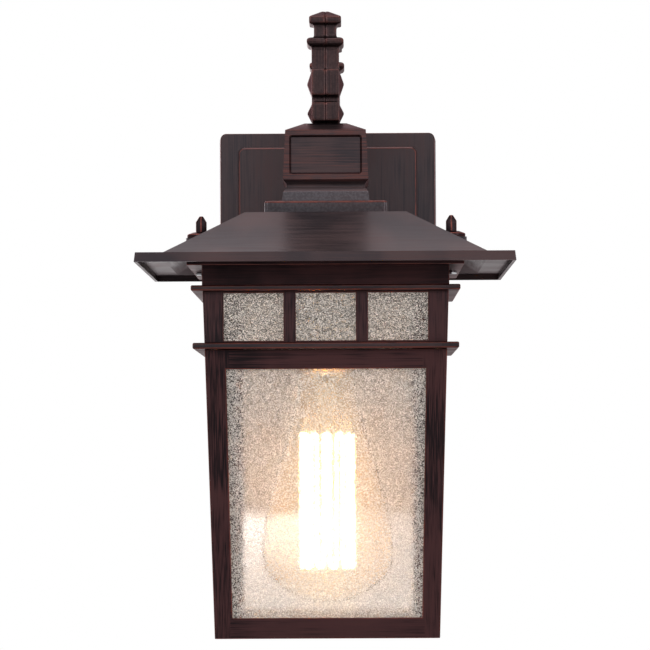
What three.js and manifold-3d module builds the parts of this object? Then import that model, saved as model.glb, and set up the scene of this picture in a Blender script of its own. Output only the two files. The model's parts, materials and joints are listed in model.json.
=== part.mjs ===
// An outdoor wall lantern in the arts-and-crafts manner: a square hipped roof over a tapered cage of
// seeded glass, carried by a cast two-post arm on a wall plate. The lamp hangs base up and is
// changed through the open bottom; two finial nuts on the roof let the whole cage come down.
//
// Millimetres. +X is the viewer's right, +Y runs into the wall, +Z is up. The origin is the centre of
// the crossbar's back face, so the wall is the plane y = 0 and the lantern is at negative y.

import * as THREE from "three";
import { mergeVertices } from "three/addons/utils/BufferGeometryUtils.js";
import Module from "manifold-3d";

const wasm = await Module();
wasm.setup();

// ---------------------------------------------------------------- driving dimensions

// Roof
const roofWidth = 178; // square, over the rim
const roofBackGap = 24; // wall plate's face to the rear of the rim
const rimBottomZ = 20.4; // above the plate's centre
const rimHeight = 4.5;
const rimDraft = 0.55; // the rim leans in towards its top
const roofSheet = 1.5;
const gutterWidth = 11.7; // level ledge between rim and slope
const roofRise = 22;
const crownWidth = 77.4; // flat top of the slope

// Crown plate and neck block above the roof
const crownPlateWidth = 59.2;
const crownPlateHeight = 6;
const plinthWidth = 42.5;
const plinthTopWidth = 41.4;
const plinthHeight = 4.8;
const grooveWidth = 38; // across the V groove's floor
const grooveHeight = 6.1;
const grooveFloorHeight = 1.9;
const blockFootWidth = 41.5;
const blockTopWidth = 39.2;
const blockHeight = 24.2;
const hipHeight = 4;
const hipTopWidth = 20.4;
const blockWall = 3.2;
const panelBorder = 2.5;
const panelDepth = 1.4;
const panelBevel = 1;
const panelCorner = 1.3;

// Cast arm: two posts and two beams, in a left and a right half
const armWidth = 13.4;
const postDepth = 15;
const rearPostReach = 7; // wall plate's face to the rear post's axis
const lowerBeamHeight = 9.1;
const upperBeamHeight = 12.9;
const beamGap = 3.4;
const beamNose = 5; // how far a beam's end stands out of the front post
const postHeadHeight = 11.4; // post above the upper beam
const postFootDrop = 62; // rear post below the lower beam
const flangeWidth = 30;
const flangeHeight = 40;
const flangeThickness = 3;
const studRise = 2.5; // pyramids on the front post's sides
const collarWidth = 18.1;
const collarHeight = 4.8;
const finialNeckWidth = 11;
const finialNeckHeight = 6.2;
const finialCapWidth = 15.7;
const finialCapHeight = 3.8;
const finialTipHeight = 3.3;
const finialDepthRatio = 1.2; // finials are deeper than they are wide
const wireway = 6; // square channel inside the arm

// Wall plate and what fixes it
const plateWidth = 114;
const plateHeight = 200;
const plateDepth = 20;
const plateWall = 2;
const plateCornerRadius = 4;
const plateDraft = 1; // each side, over the depth
const fieldSideMargin = 10.2; // edge of the plate to its raised field
const fieldTopMargin = 8.2;
const fieldRise = 1.2;
const fieldCornerRadius = 3.5;
const gasketThickness = 1.6;
const gasketWidth = 5;
const crossbarLength = 98;
const crossbarWidth = 20;
const crossbarThickness = 2;
const boxScrewSpacing = 88.9; // the wall box's own screws
const slotLength = 9;
const slotWidth = 4.6;
const plateStudSpacing = 60;
const plateStudRadius = 2;
const plateNutRadius = 4.6;

// Cage
const flangeOverhang = 6.9; // head flange past the band
const headFlangeThickness = 2;
const bandProud = 0.3; // band past the windows' top
const bandHeight = 9.3;
const frameWall = 2.5;
const ledgeOverhang = 5.4;
const upperLedgeHeight = 2.6;
const windowHeight = 24.4;
const lowerLedgeHeight = 2.9;
const bodyHeight = 137;
const cageTopHalf = 58.3; // at the windows' top
const cageBottomHalf = 53.3; // at the foot
const windowEndPost = 9.1; // cage's corner to its outermost window, at the sill
const muntinWidth = 5.85;
const topRail = 9.4;
const bottomRail = 9.8;
const stileTop = 9.8;
const stileBottom = 8.7;
const footLip = 5; // inward lip that carries the lower glass
const footLipThickness = 1.6;
const glassThickness = 3;
const glassLap = 3; // glass behind its frame, all round
const glassGap = 0.35;
const retainerLeg = 4.5;
const retainerThickness = 1.2;

// Finial nuts and the studs they run on
const studMargin = 2.7; // band's face to a stud's axis
const studRadius = 1.45;
const nutBore = 1.55;
const nutFlangeRadius = 6.9;
const nutFlangeThickness = 1.6;
const nutConeHeight = 1.1;
const nutBodyRadius = 3;
const nutBodyHeight = 5;
const nutTipHeight = 2.9;
const bossMargin = 0.7; // boss past the nut's flange
const bossTopRise = 3; // boss above the slope at the stud's axis
const pillarRadius = 4;

// Lamp and lampholder
const nippleRadius = 4.9;
const nippleBore = 3.5;
const nutAcrossFlats = 16;
const nutThickness = 3.4;
const washerRadius = 11;
const washerThickness = 1;
const capRadius = 15;
const capHeight = 7;
const holderRadius = 20;
const holderTopRadius = 16;
const holderHeight = 51;
const holderCavityRadius = 14.4;
const holderCavityDepth = 30;
const shellRadius = 14;
const shellWall = 0.5;
const baseRadius = 13;
const baseHeight = 22.5;
const bulbRadius = 32;
const bulbLength = 140.4; // contact to tip
const bulbWall = 1;
const filamentRadius = 12.7;
const filamentWire = 0.9;
const filamentTop = 58; // below the contact
const filamentBottom = 122;
const filamentTurns = 9;

// Wiring
const leadRadius = 1.1;
const wireNutRadius = 5;
const wireNutLength = 15;

// Fits
const seat = 0.1; // between pieces that rest on each other
const clearance = 0.3; // round a screw, a tube or a wire

// ---------------------------------------------------------------- derived places

const axisY = -(plateDepth + roofBackGap + roofWidth / 2);
const rimTopZ = rimBottomZ + rimHeight;
const crownZ = rimTopZ + roofRise;
const slopeHalf = roofWidth / 2 - gutterWidth;
const slope = roofRise / (slopeHalf - crownWidth / 2);
const bandHalf = cageTopHalf + bandProud;
const studOffset = bandHalf + studMargin; // from the lantern's axis, left and right
const crownPlateZ = crownZ + seat;
const plinthZ = crownPlateZ + crownPlateHeight + seat;
const grooveZ = plinthZ + plinthHeight;
const blockZ = grooveZ + grooveHeight;
const blockTopZ = blockZ + blockHeight;
const hipTopZ = blockTopZ + hipHeight;
const armZ = hipTopZ + seat;
const lowerBeamZ = armZ + 1;
const upperBeamZ = lowerBeamZ + lowerBeamHeight + beamGap;
const postHeadZ = upperBeamZ + upperBeamHeight;
const finialZ = postHeadZ + postHeadHeight;
const wirewayZ = upperBeamZ + upperBeamHeight / 2;
const rearPostY = -(plateDepth + rearPostReach);
const postFootZ = lowerBeamZ - postFootDrop;
const plateFaceY = -plateDepth;
const headFlangeTopZ = rimBottomZ + headFlangeThickness - 0.3;
const bandTopZ = headFlangeTopZ - headFlangeThickness;
const upperLedgeZ = bandTopZ - bandHeight; // top of the ledge
const windowTopZ = upperLedgeZ - seat - upperLedgeHeight - seat;
const lowerLedgeZ = windowTopZ - windowHeight - seat;
const bodyTopZ = lowerLedgeZ - lowerLedgeHeight - seat;
const bodyBottomZ = bodyTopZ - bodyHeight;
const cageTaper = (cageTopHalf - cageBottomHalf) / (windowTopZ - bodyBottomZ);
const lean = Math.atan(cageTaper);
const cageHalf = (z) => cageBottomHalf + cageTaper * (z - bodyBottomZ);
const windowsHalf = cageHalf(windowTopZ - windowHeight) - windowEndPost;
const windowWidth = (2 * windowsHalf - 2 * muntinWidth) / 3;
const slopeZ = (half) => rimTopZ + slope * (slopeHalf - half);
const bossTopZ = slopeZ(studOffset) + bossTopRise;
const capZ = rimBottomZ + 4; // underside of the lampholder's cap
const holderBottomZ = capZ - seat - holderHeight;
const contactZ = holderBottomZ + holderCavityDepth - 5; // lamp's contact when it is screwed home

// ---------------------------------------------------------------- materials

function finish(color, roughness, metalness, extra = {}) {
  return new THREE.MeshStandardMaterial({ color, roughness, metalness, ...extra });
}

const bronze = finish(0x35262a, 0.42, 0.75);
const bronzeInside = finish(0x6d4a45, 0.5, 0.7);
const steel = finish(0xa8a9ab, 0.4, 0.9);
const brass = finish(0xc19a4b, 0.3, 0.95);
const porcelain = finish(0xece7df, 0.25, 0);
const foam = finish(0x2a2a2b, 0.95, 0);
const seededGlass = finish(0xdfe0da, 0.12, 0, { transparent: true, opacity: 0.4 });
const lampGlass = finish(0xf6e4c4, 0.05, 0, { transparent: true, opacity: 0.3 });
const glow = finish(0xffc36a, 0.5, 0, { emissive: 0xffa640 });
const vitrite = finish(0x1a1a20, 0.2, 0);
const blackWire = finish(0x17171a, 0.55, 0);
const whiteWire = finish(0xe9e7e2, 0.55, 0);
const copper = finish(0xb4713e, 0.4, 0.95);
const nutPlastic = finish(0xd98b2b, 0.5, 0);

// ---------------------------------------------------------------- solids

/** A closed three.js geometry as a manifold solid. */
function solidOf(geometry) {
  const bare = geometry.index ? geometry.toNonIndexed() : geometry.clone();
  bare.deleteAttribute("normal");
  bare.deleteAttribute("uv");
  const merged = mergeVertices(bare, 1e-4);
  const kept = [];
  const index = merged.index.array;
  for (let i = 0; i < index.length; i += 3) {
    const [a, b, c] = [index[i], index[i + 1], index[i + 2]];
    if (a !== b && b !== c && a !== c) kept.push(a, b, c);
  }
  const vertProperties = merged.attributes.position.array;
  return new wasm.Manifold(new wasm.Mesh({ numProp: 3, vertProperties, triVerts: new Uint32Array(kept) }));
}

/** A manifold solid as a three.js geometry. */
function geometryOf(solid) {
  const mesh = solid.getMesh();
  const geometry = new THREE.BufferGeometry();
  geometry.setAttribute("position", new THREE.BufferAttribute(mesh.vertProperties, 3));
  geometry.setIndex(new THREE.BufferAttribute(mesh.triVerts, 1));
  geometry.computeVertexNormals();
  return geometry;
}

/** A profile of [radius, z] points turned about Z. It ends on the axis or closes on itself. */
function turn(profile, segments = 28, start = 0) {
  const points = profile.map(([r, z]) => new THREE.Vector2(r, z));
  if (THREE.ShapeUtils.area(points) < 0) points.reverse();
  if (points.some((p) => p.x > 0) && !(points[0].x === 0 && points.at(-1).x === 0)) {
    const onAxis = points.findIndex((p, i) => p.x === 0 && points.at(i - 1).x === 0);
    if (onAxis >= 0) points.push(...points.splice(0, onAxis));
    else points.push(points[0].clone());
  }
  return new THREE.LatheGeometry(points, segments, start).rotateX(Math.PI / 2);
}

/** The same for a square plan: the profile's radius is half the width across flats. */
function squareTurn(profile) {
  return turn(profile.map(([half, z]) => [half * Math.SQRT2, z]), 4, Math.PI / 4);
}

/** A box from its lowest to its highest corner. */
function box(low, high) {
  const size = high.map((v, i) => v - low[i]);
  const centre = high.map((v, i) => (v + low[i]) / 2);
  return new THREE.BoxGeometry(...size).translate(...centre);
}

/** A rectangle's outline with round corners, about the origin. */
function roundedRectangle(width, height, radius, shape = new THREE.Shape()) {
  const [x, y] = [width / 2, height / 2];
  shape.moveTo(-x + radius, -y).lineTo(x - radius, -y).absarc(x - radius, -y + radius, radius, -Math.PI / 2, 0);
  shape.lineTo(x, y - radius).absarc(x - radius, y - radius, radius, 0, Math.PI / 2);
  shape.lineTo(-x + radius, y).absarc(-x + radius, y - radius, radius, Math.PI / 2, Math.PI);
  shape.lineTo(-x, -y + radius).absarc(-x + radius, -y + radius, radius, Math.PI, 1.5 * Math.PI);
  return shape;
}

/** An outline in X and Z, pushed from backY towards the viewer by depth; edge chamfers the front. */
function pushForward(shape, backY, depth, edge = 0, edgeDepth = edge) {
  const bevel = edge > 0;
  const options = {
    depth: bevel ? depth - edgeDepth : depth,
    bevelEnabled: bevel,
    bevelSize: edge,
    bevelThickness: edgeDepth,
    bevelOffset: -edge,
    bevelSegments: 1,
    curveSegments: 4,
  };
  const geometry = new THREE.ExtrudeGeometry(shape, options).rotateX(Math.PI / 2).translate(0, backY, 0);
  if (!bevel) return solidOf(geometry);
  const behind = box([-500, backY, -500], [500, backY + 100, 500]);
  return solidOf(geometry).subtract(solidOf(behind));
}

/** A round bar along Y. */
function barAlongY(radius, y0, y1, x, z, segments = 20) {
  return turn([[0, 0], [radius, 0], [radius, y1 - y0], [0, y1 - y0]], segments)
    .rotateX(-Math.PI / 2)
    .translate(x, y0, z);
}

/** A round bar along Z on the lantern's axis, or beside it. */
function barAlongZ(radius, z0, z1, x = 0, y = axisY, segments = 28) {
  return turn([[0, z0], [radius, z0], [radius, z1], [0, z1]], segments).translate(x, y, 0);
}

/** A wire of round section through the points. */
function wire(points, radius, steps, sides = 8) {
  const path = new THREE.CatmullRomCurve3(points.map((p) => new THREE.Vector3(...p)), false, "centripetal");
  const section = new THREE.Shape();
  for (let i = 0; i < sides; i++) {
    const angle = (2 * Math.PI * i) / sides;
    const point = [radius * Math.cos(angle), radius * Math.sin(angle)];
    if (i === 0) section.moveTo(...point);
    else section.lineTo(...point);
  }
  return new THREE.ExtrudeGeometry(section, { steps, bevelEnabled: false, extrudePath: path });
}

const lantern = new THREE.Group();

/** Adds one named piece to the lantern. */
function add(name, material, piece) {
  const geometry = piece.isBufferGeometry ? piece : geometryOf(piece);
  const mesh = new THREE.Mesh(geometry, material);
  mesh.name = name;
  lantern.add(mesh);
}

const onAxis = (geometry) => geometry.translate(0, axisY, 0);
const sides = [["left", -1], ["right", 1]];
const quarters = [["front", 0], ["right", 1], ["rear", 2], ["left", 3]];

// ---------------------------------------------------------------- wall plate

function wallPlate() {
  const pan = plateDepth - gasketThickness - seat;
  const outline = roundedRectangle(plateWidth, plateHeight, plateCornerRadius);
  const shell = pushForward(outline, -gasketThickness - seat, pan, plateDraft, pan - 0.5);
  const fieldWidth = plateWidth - 2 * fieldSideMargin;
  const fieldHeight = plateHeight - 2 * fieldTopMargin;
  const field = roundedRectangle(fieldWidth, fieldHeight, fieldCornerRadius);
  const raised = pushForward(field, plateFaceY + 0.5, fieldRise + 0.5, 0.8);
  const inside = roundedRectangle(
    plateWidth - 2 * (plateWall + plateDraft),
    plateHeight - 2 * (plateWall + plateDraft),
    plateCornerRadius - 1,
  );
  const hollow = pushForward(inside, 1, pan + gasketThickness + seat + 1 - plateWall);
  let plate = shell.add(raised).subtract(hollow);
  for (const [, side] of sides) {
    const studHole = barAlongY(plateStudRadius + clearance, -plateDepth - 5, 0, (side * plateStudSpacing) / 2, 0);
    const screwHole = barAlongY(2.2, -plateDepth - 5, 0, side * armScrewX, armScrewZ);
    plate = plate.subtract(solidOf(studHole)).subtract(solidOf(screwHole));
  }
  const wireHole = barAlongY(wireway / 2 + 1, -plateDepth - 5, 0, 0, wireHoleZ);
  return plate.subtract(solidOf(wireHole));
}

function wallGasket() {
  const outer = roundedRectangle(plateWidth - 1, plateHeight - 1, plateCornerRadius);
  const inner = roundedRectangle(
    plateWidth - 1 - 2 * gasketWidth,
    plateHeight - 1 - 2 * gasketWidth,
    plateCornerRadius,
    new THREE.Path(),
  );
  outer.holes.push(inner);
  return pushForward(outer, 0, gasketThickness);
}

function crossbar() {
  const strip = roundedRectangle(crossbarLength, crossbarWidth, 3);
  for (const [, side] of sides) {
    const slot = new THREE.Path();
    const x = (side * boxScrewSpacing) / 2;
    const straight = (slotLength - slotWidth) / 2;
    slot.absarc(x + straight, 0, slotWidth / 2, -Math.PI / 2, Math.PI / 2);
    slot.absarc(x - straight, 0, slotWidth / 2, Math.PI / 2, 1.5 * Math.PI);
    strip.holes.push(slot);
  }
  let bar = pushForward(strip, 0, crossbarThickness);
  for (const [, side] of sides) {
    const x = (side * plateStudSpacing) / 2;
    bar = bar.subtract(solidOf(barAlongY(plateStudRadius + seat, -crossbarThickness - 1, 1, x, 0, 24)));
  }
  return bar.subtract(solidOf(barAlongY(groundScrewRadius + seat, -crossbarThickness - 1, 1, groundScrewX, 0, 24)));
}

const armScrewX = flangeWidth / 2 - 4;
const armScrewZ = postFootZ + flangeHeight / 2;
const wireHoleZ = postFootZ + flangeHeight * 0.72;
const groundScrewX = 14;
const groundScrewRadius = 1.9;

add("crossbar", steel, crossbar());
add("wall_gasket", foam, wallGasket());
add("wall_plate", bronze, wallPlate());

const fieldY = plateFaceY - fieldRise;
for (const [word, side] of sides) {
  const x = (side * plateStudSpacing) / 2;
  const studEnd = fieldY - 7;
  add(`plate_stud_${word}`, steel, barAlongY(plateStudRadius, studEnd, 0, x, 0, 16));
  const cap = turn(
    [
      [plateStudRadius + seat, 0],
      [plateNutRadius + 1.2, 0],
      [plateNutRadius + 1.2, 1],
      [plateNutRadius, 1.4],
      [plateNutRadius, 5],
      [plateNutRadius * 0.75, 8],
      [plateNutRadius * 0.3, 9.6],
      [0, 10],
      [0, 8.4],
      [plateStudRadius + seat, 8],
    ],
    24,
  );
  add(`plate_nut_${word}`, bronze, cap.rotateX(Math.PI / 2).translate(x, fieldY - seat, 0));
  const screw = solidOf(barAlongY(1.9, -plateDepth - flangeThickness - fieldRise, -plateDepth + plateWall, 0, 0, 16));
  const head = solidOf(barAlongY(3.6, -plateDepth + plateWall + seat, -plateDepth + plateWall + 2.2, 0, 0, 16));
  const neck = solidOf(barAlongY(1.9, -plateDepth + 1, -plateDepth + plateWall + 1, 0, 0, 16));
  add(`arm_screw_${word}`, steel, geometryOf(screw.add(head).add(neck)).translate(side * armScrewX, 0, armScrewZ));
}

function groundScrew() {
  const shank = solidOf(barAlongY(groundScrewRadius, -crossbarThickness - 3, -0.2, groundScrewX, 0, 16));
  const head = solidOf(barAlongY(4, -crossbarThickness - 5, -crossbarThickness - 2.6, groundScrewX, 0, 6));
  return shank.add(head);
}
add("ground_screw", finish(0x3f8f4f, 0.4, 0.6), groundScrew());

// ---------------------------------------------------------------- cast arm

/** Half widths and heights of the finial that tops each post. */
const finialProfile = [
  [0, -1],
  [armWidth / 2 - 0.4, -1],
  [armWidth / 2 - 0.4, 0],
  [collarWidth / 2 - 1, collarHeight * 0.1],
  [collarWidth / 2, collarHeight * 0.35],
  [collarWidth / 2, collarHeight * 0.7],
  [collarWidth / 2 - 1, collarHeight * 0.9],
  [finialNeckWidth / 2, collarHeight],
  [finialNeckWidth / 2, collarHeight + finialNeckHeight],
  [finialCapWidth / 2, collarHeight + finialNeckHeight + 0.5],
  [finialCapWidth / 2, collarHeight + finialNeckHeight + finialCapHeight],
  [finialCapWidth / 2 - 1, collarHeight + finialNeckHeight + finialCapHeight + 0.6],
  [1.6, collarHeight + finialNeckHeight + finialCapHeight + finialTipHeight],
  [0, collarHeight + finialNeckHeight + finialCapHeight + finialTipHeight],
];

function finial(y) {
  return solidOf(squareTurn(finialProfile).scale(1, finialDepthRatio, 1).translate(0, y, finialZ));
}

/** A four-sided pyramid that stands out of the arm's side. */
function sidePyramid(side, height, z) {
  const cone = new THREE.ConeGeometry(height / Math.SQRT2, studRise, 4, 1, false, Math.PI / 4);
  cone.translate(0, studRise / 2, 0).rotateZ((-side * Math.PI) / 2);
  return solidOf(cone.translate((side * armWidth) / 2 - side * 0.02, axisY, z));
}

function castArm() {
  const half = armWidth / 2;
  const front = axisY - postDepth / 2;
  const back = rearPostY + postDepth / 2;
  const flangeBackY = fieldY - seat;
  const pieces = [
    box([-half + 0.7, front + 0.7, armZ], [half - 0.7, axisY + postDepth / 2 - 0.7, lowerBeamZ + 1]),
    box([-half, front, lowerBeamZ + 0.5], [half, axisY + postDepth / 2, finialZ]),
    box([-half, front - beamNose, lowerBeamZ], [half, back - 1, lowerBeamZ + lowerBeamHeight]),
    box([-half, front - beamNose, upperBeamZ], [half, back - 1, upperBeamZ + upperBeamHeight]),
    box([-half, rearPostY - postDepth / 2, postFootZ], [half, Math.min(back, flangeBackY), finialZ]),
    box(
      [-flangeWidth / 2, flangeBackY - flangeThickness, postFootZ],
      [flangeWidth / 2, flangeBackY, postFootZ + flangeHeight],
    ),
  ].map(solidOf);
  pieces.push(finial(axisY), finial(rearPostY));
  for (const [, side] of sides) {
    pieces.push(sidePyramid(side, upperBeamHeight, upperBeamZ + upperBeamHeight / 2));
    pieces.push(sidePyramid(side, lowerBeamHeight, lowerBeamZ + lowerBeamHeight / 2));
  }
  return pieces.reduce((all, piece) => all.add(piece));
}

function armCuts() {
  const half = wireway / 2;
  const cuts = [
    box([-half, axisY - half, armZ + 5], [half, axisY + half, wirewayZ + half]),
    box([-half, axisY - half, wirewayZ - half], [half, rearPostY + half, wirewayZ + half]),
    box([-half, rearPostY - half, wireHoleZ - half], [half, rearPostY + half, wirewayZ + half]),
    box([-half, rearPostY - half, wireHoleZ - half], [half, 0, wireHoleZ + half]),
    barAlongZ(nippleRadius + seat, armZ - 2, armZ + 6),
  ];
  for (const [, side] of sides) cuts.push(barAlongY(2, -plateDepth - 10, 0, side * armScrewX, armScrewZ, 16));
  return cuts.map(solidOf);
}

const wholeArm = armCuts().reduce((arm, cut) => arm.subtract(cut), castArm());
for (const [word, side] of sides) {
  const [x0, x1] = side < 0 ? [-flangeWidth, 0] : [0, flangeWidth];
  const own = box([x0, axisY - 40, postFootZ - 5], [x1, 0, finialZ + 40]);
  add(`arm_${word}_half`, bronze, wholeArm.intersect(solidOf(own)));
}

// ---------------------------------------------------------------- neck block and crown plate

function recess(quarter) {
  const middle = blockZ + blockHeight / 2;
  const meanHalf = (blockFootWidth + blockTopWidth) / 4;
  const across = meanHalf - panelBorder;
  const up = blockHeight / 2 - panelBorder;
  const slant = Math.atan((blockFootWidth - blockTopWidth) / 2 / blockHeight);
  const proud = 3;
  const options = { bevelThickness: panelDepth, bevelSize: panelBevel, bevelOffset: -panelBevel };
  const outline = roundedRectangle(2 * across, 2 * up, panelCorner);
  const mouth = new THREE.ExtrudeGeometry(outline, { depth: proud, bevelSegments: 1, curveSegments: 3, ...options });
  mouth.translate(0, 0, -proud).rotateX(-Math.PI / 2 - slant);
  mouth.translate(0, -meanHalf, middle).rotateZ((quarter * Math.PI) / 2);
  return solidOf(onAxis(mouth));
}

function neckBlock() {
  const grooveStep = (grooveHeight - grooveFloorHeight) / 2;
  const outer = squareTurn([
    [0, plinthZ],
    [plinthWidth / 2, plinthZ],
    [plinthTopWidth / 2, grooveZ],
    [grooveWidth / 2, grooveZ + grooveStep],
    [grooveWidth / 2, blockZ - grooveStep],
    [blockFootWidth / 2, blockZ],
    [blockTopWidth / 2, blockTopZ],
    [hipTopWidth / 2, hipTopZ],
    [0, hipTopZ],
  ]);
  const inner = squareTurn([
    [0, plinthZ - 1],
    [grooveWidth / 2 - blockWall, plinthZ - 1],
    [grooveWidth / 2 - blockWall, blockTopZ - blockWall],
    [0, blockTopZ - blockWall],
  ]);
  let block = solidOf(onAxis(outer)).subtract(solidOf(onAxis(inner)));
  for (const [, quarter] of quarters) block = block.subtract(recess(quarter));
  return block.subtract(solidOf(barAlongZ(nippleRadius + clearance, blockTopZ - 8, hipTopZ + 5)));
}

function crownPlate() {
  const options = { depth: crownPlateHeight - 0.6, bevelThickness: 0.6, bevelSize: 0.6, bevelOffset: -0.6 };
  const outline = roundedRectangle(crownPlateWidth, crownPlateWidth, 2);
  const slab = new THREE.ExtrudeGeometry(outline, { ...options, bevelSegments: 1, curveSegments: 4 });
  const plate = solidOf(onAxis(slab.translate(0, 0, crownPlateZ)));
  const under = box([-100, axisY - 100, crownPlateZ - 5], [100, axisY + 100, crownPlateZ]);
  const bore = barAlongZ(nippleRadius + clearance, crownPlateZ - 5, crownPlateZ + 20);
  return plate.subtract(solidOf(under)).subtract(solidOf(bore));
}

add("neck_block", bronze, neckBlock());
add("crown_plate", bronze, crownPlate());

// ---------------------------------------------------------------- roof

function roof() {
  const half = roofWidth / 2;
  const shell = squareTurn([
    [0, crownZ],
    [crownWidth / 2, crownZ],
    [slopeHalf, rimTopZ],
    [half - rimDraft, rimTopZ],
    [half, rimBottomZ],
    [half - roofSheet, rimBottomZ],
    [half - roofSheet, rimTopZ - roofSheet],
    [slopeHalf - 0.4, rimTopZ - roofSheet],
    [crownWidth / 2 - 0.4, crownZ - roofSheet],
    [0, crownZ - roofSheet],
  ]);
  let made = solidOf(onAxis(shell));
  const bossRadius = nutFlangeRadius + bossMargin;
  const bossFootZ = Math.max(slopeZ(studOffset + bossRadius), rimTopZ) - roofSheet + 0.2;
  for (const [, side] of sides) {
    const x = side * studOffset;
    const boss = barAlongZ(bossRadius, bossFootZ, bossTopZ, x);
    const pillar = barAlongZ(pillarRadius, headFlangeTopZ + seat, bossTopZ - 1, x, axisY, 20);
    const spotFace = barAlongZ(nutFlangeRadius + clearance, bossTopZ, bossTopZ + 20, x);
    const bore = barAlongZ(studRadius + clearance, rimBottomZ - 5, bossTopZ + 5, x, axisY, 20);
    made = made.add(solidOf(boss)).add(solidOf(pillar)).subtract(solidOf(spotFace)).subtract(solidOf(bore));
  }
  return made.subtract(solidOf(barAlongZ(nippleRadius + clearance, crownZ - 10, crownZ + 5)));
}
add("roof", bronze, roof());

for (const [word, side] of sides) {
  const coneZ = nutFlangeThickness + nutConeHeight;
  const shoulderZ = coneZ + nutBodyHeight;
  const tipZ = shoulderZ + nutTipHeight;
  const boreTop = shoulderZ;
  const blank = turn(
    [
      [0, 0],
      [nutFlangeRadius, 0],
      [nutFlangeRadius, nutFlangeThickness],
      [nutBodyRadius + 1, coneZ],
      [0, coneZ],
    ],
    24,
  );
  const hex = turn([[0, coneZ - 0.5], [nutBodyRadius, coneZ - 0.5], [nutBodyRadius, shoulderZ], [1, tipZ], [0, tipZ]], 6);
  const bore = turn([[0, -1], [nutBore, -1], [nutBore, boreTop], [0, boreTop]], 24);
  const nut = solidOf(blank).add(solidOf(hex)).subtract(solidOf(bore));
  add(`finial_nut_${word}`, bronze, geometryOf(nut).translate(side * studOffset, axisY, bossTopZ + seat));
}

// ---------------------------------------------------------------- cage

/** A square ring whose outside follows the cage's taper between two heights. */
function taperedRing(z0, z1, wall) {
  return squareTurn([
    [cageHalf(z0), z0],
    [cageHalf(z1), z1],
    [cageHalf(z1) - wall, z1],
    [cageHalf(z0) - wall, z0],
  ]);
}

/** A level square ring, chamfered along its outer edges. */
function ledge(half, inner, z0, z1) {
  const edge = 0.4;
  return squareTurn([
    [inner, z0],
    [half - edge, z0],
    [half, z0 + edge],
    [half, z1 - edge],
    [half - edge, z1],
    [inner, z1],
  ]);
}

function cageHead() {
  const inner = bandHalf - frameWall;
  const z0 = upperLedgeZ;
  const flange = bandHalf + flangeOverhang;
  let head = solidOf(
    onAxis(
      squareTurn([
        [inner, z0],
        [bandHalf, z0],
        [bandHalf, bandTopZ],
        [flange, bandTopZ],
        [flange, headFlangeTopZ],
        [inner, headFlangeTopZ],
      ]),
    ),
  );
  for (const [, side] of sides) {
    const hole = barAlongZ(studRadius + seat, bandTopZ - 1, headFlangeTopZ + 1, side * studOffset, axisY, 20);
    head = head.subtract(solidOf(hole));
  }
  return head;
}

/** An upright cutter through one side, wider at the top, between two heights. */
function opening(quarter, x, halfLow, halfHigh, z0, z1) {
  const outline = new THREE.Shape();
  outline.moveTo(x - halfLow, z0).lineTo(x + halfLow, z0).lineTo(x + halfHigh, z1).lineTo(x - halfHigh, z1);
  const cutter = new THREE.ExtrudeGeometry(outline, { depth: 30, bevelEnabled: false }).rotateX(Math.PI / 2);
  return solidOf(onAxis(cutter.translate(0, -35, 0).rotateZ((quarter * Math.PI) / 2)));
}

function windowFrame() {
  const z1 = windowTopZ;
  const z0 = z1 - windowHeight;
  let frame = solidOf(onAxis(taperedRing(z0, z1, frameWall)));
  const sill = 0.9;
  const pitch = windowWidth + muntinWidth;
  for (const [, quarter] of quarters)
    for (const column of [-1, 0, 1]) {
      const half = windowWidth / 2;
      frame = frame.subtract(opening(quarter, column * pitch, half, half, z0 + sill, z1 - sill));
    }
  return frame;
}

function bodyFrame() {
  const lipHalf = cageHalf(bodyBottomZ) - frameWall - footLip;
  const ring = solidOf(onAxis(taperedRing(bodyBottomZ, bodyTopZ, frameWall)));
  const lip = squareTurn([
    [lipHalf, bodyBottomZ],
    [cageHalf(bodyBottomZ) - 1, bodyBottomZ],
    [cageHalf(bodyBottomZ) - 1, bodyBottomZ + footLipThickness],
    [lipHalf, bodyBottomZ + footLipThickness],
  ]);
  let frame = ring.add(solidOf(onAxis(lip)));
  const low = bodyBottomZ + bottomRail;
  const high = bodyTopZ - topRail;
  for (const [, quarter] of quarters) {
    const cutter = opening(quarter, 0, cageHalf(low) - stileBottom, cageHalf(high) - stileTop, low, high);
    frame = frame.subtract(cutter);
  }
  return frame;
}

/** A flat pane that leans with the cage, behind one side's frame. */
function pane(quarter, z0, z1) {
  const faceAt = (z) => cageHalf(z) - frameWall - glassGap;
  const halfAt = (z) => faceAt(z) - glassThickness - glassGap - 0.3;
  const run = (z1 - z0) / Math.cos(lean);
  const outline = new THREE.Shape();
  outline.moveTo(-halfAt(z0), 0).lineTo(halfAt(z0), 0).lineTo(halfAt(z1), run).lineTo(-halfAt(z1), run);
  const sheet = new THREE.ExtrudeGeometry(outline, { depth: glassThickness, bevelEnabled: false });
  sheet.rotateX(Math.PI / 2 + lean).translate(0, -faceAt(z0) + glassThickness / Math.cos(lean), z0);
  return onAxis(sheet.rotateZ((quarter * Math.PI) / 2));
}

const paneFootZ = bodyBottomZ + footLipThickness + glassGap;
const paneHeadZ = bodyTopZ - topRail + glassLap;
const stripFootZ = windowTopZ - windowHeight - 1.6;
const stripHeadZ = windowTopZ + 1.6;

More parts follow.
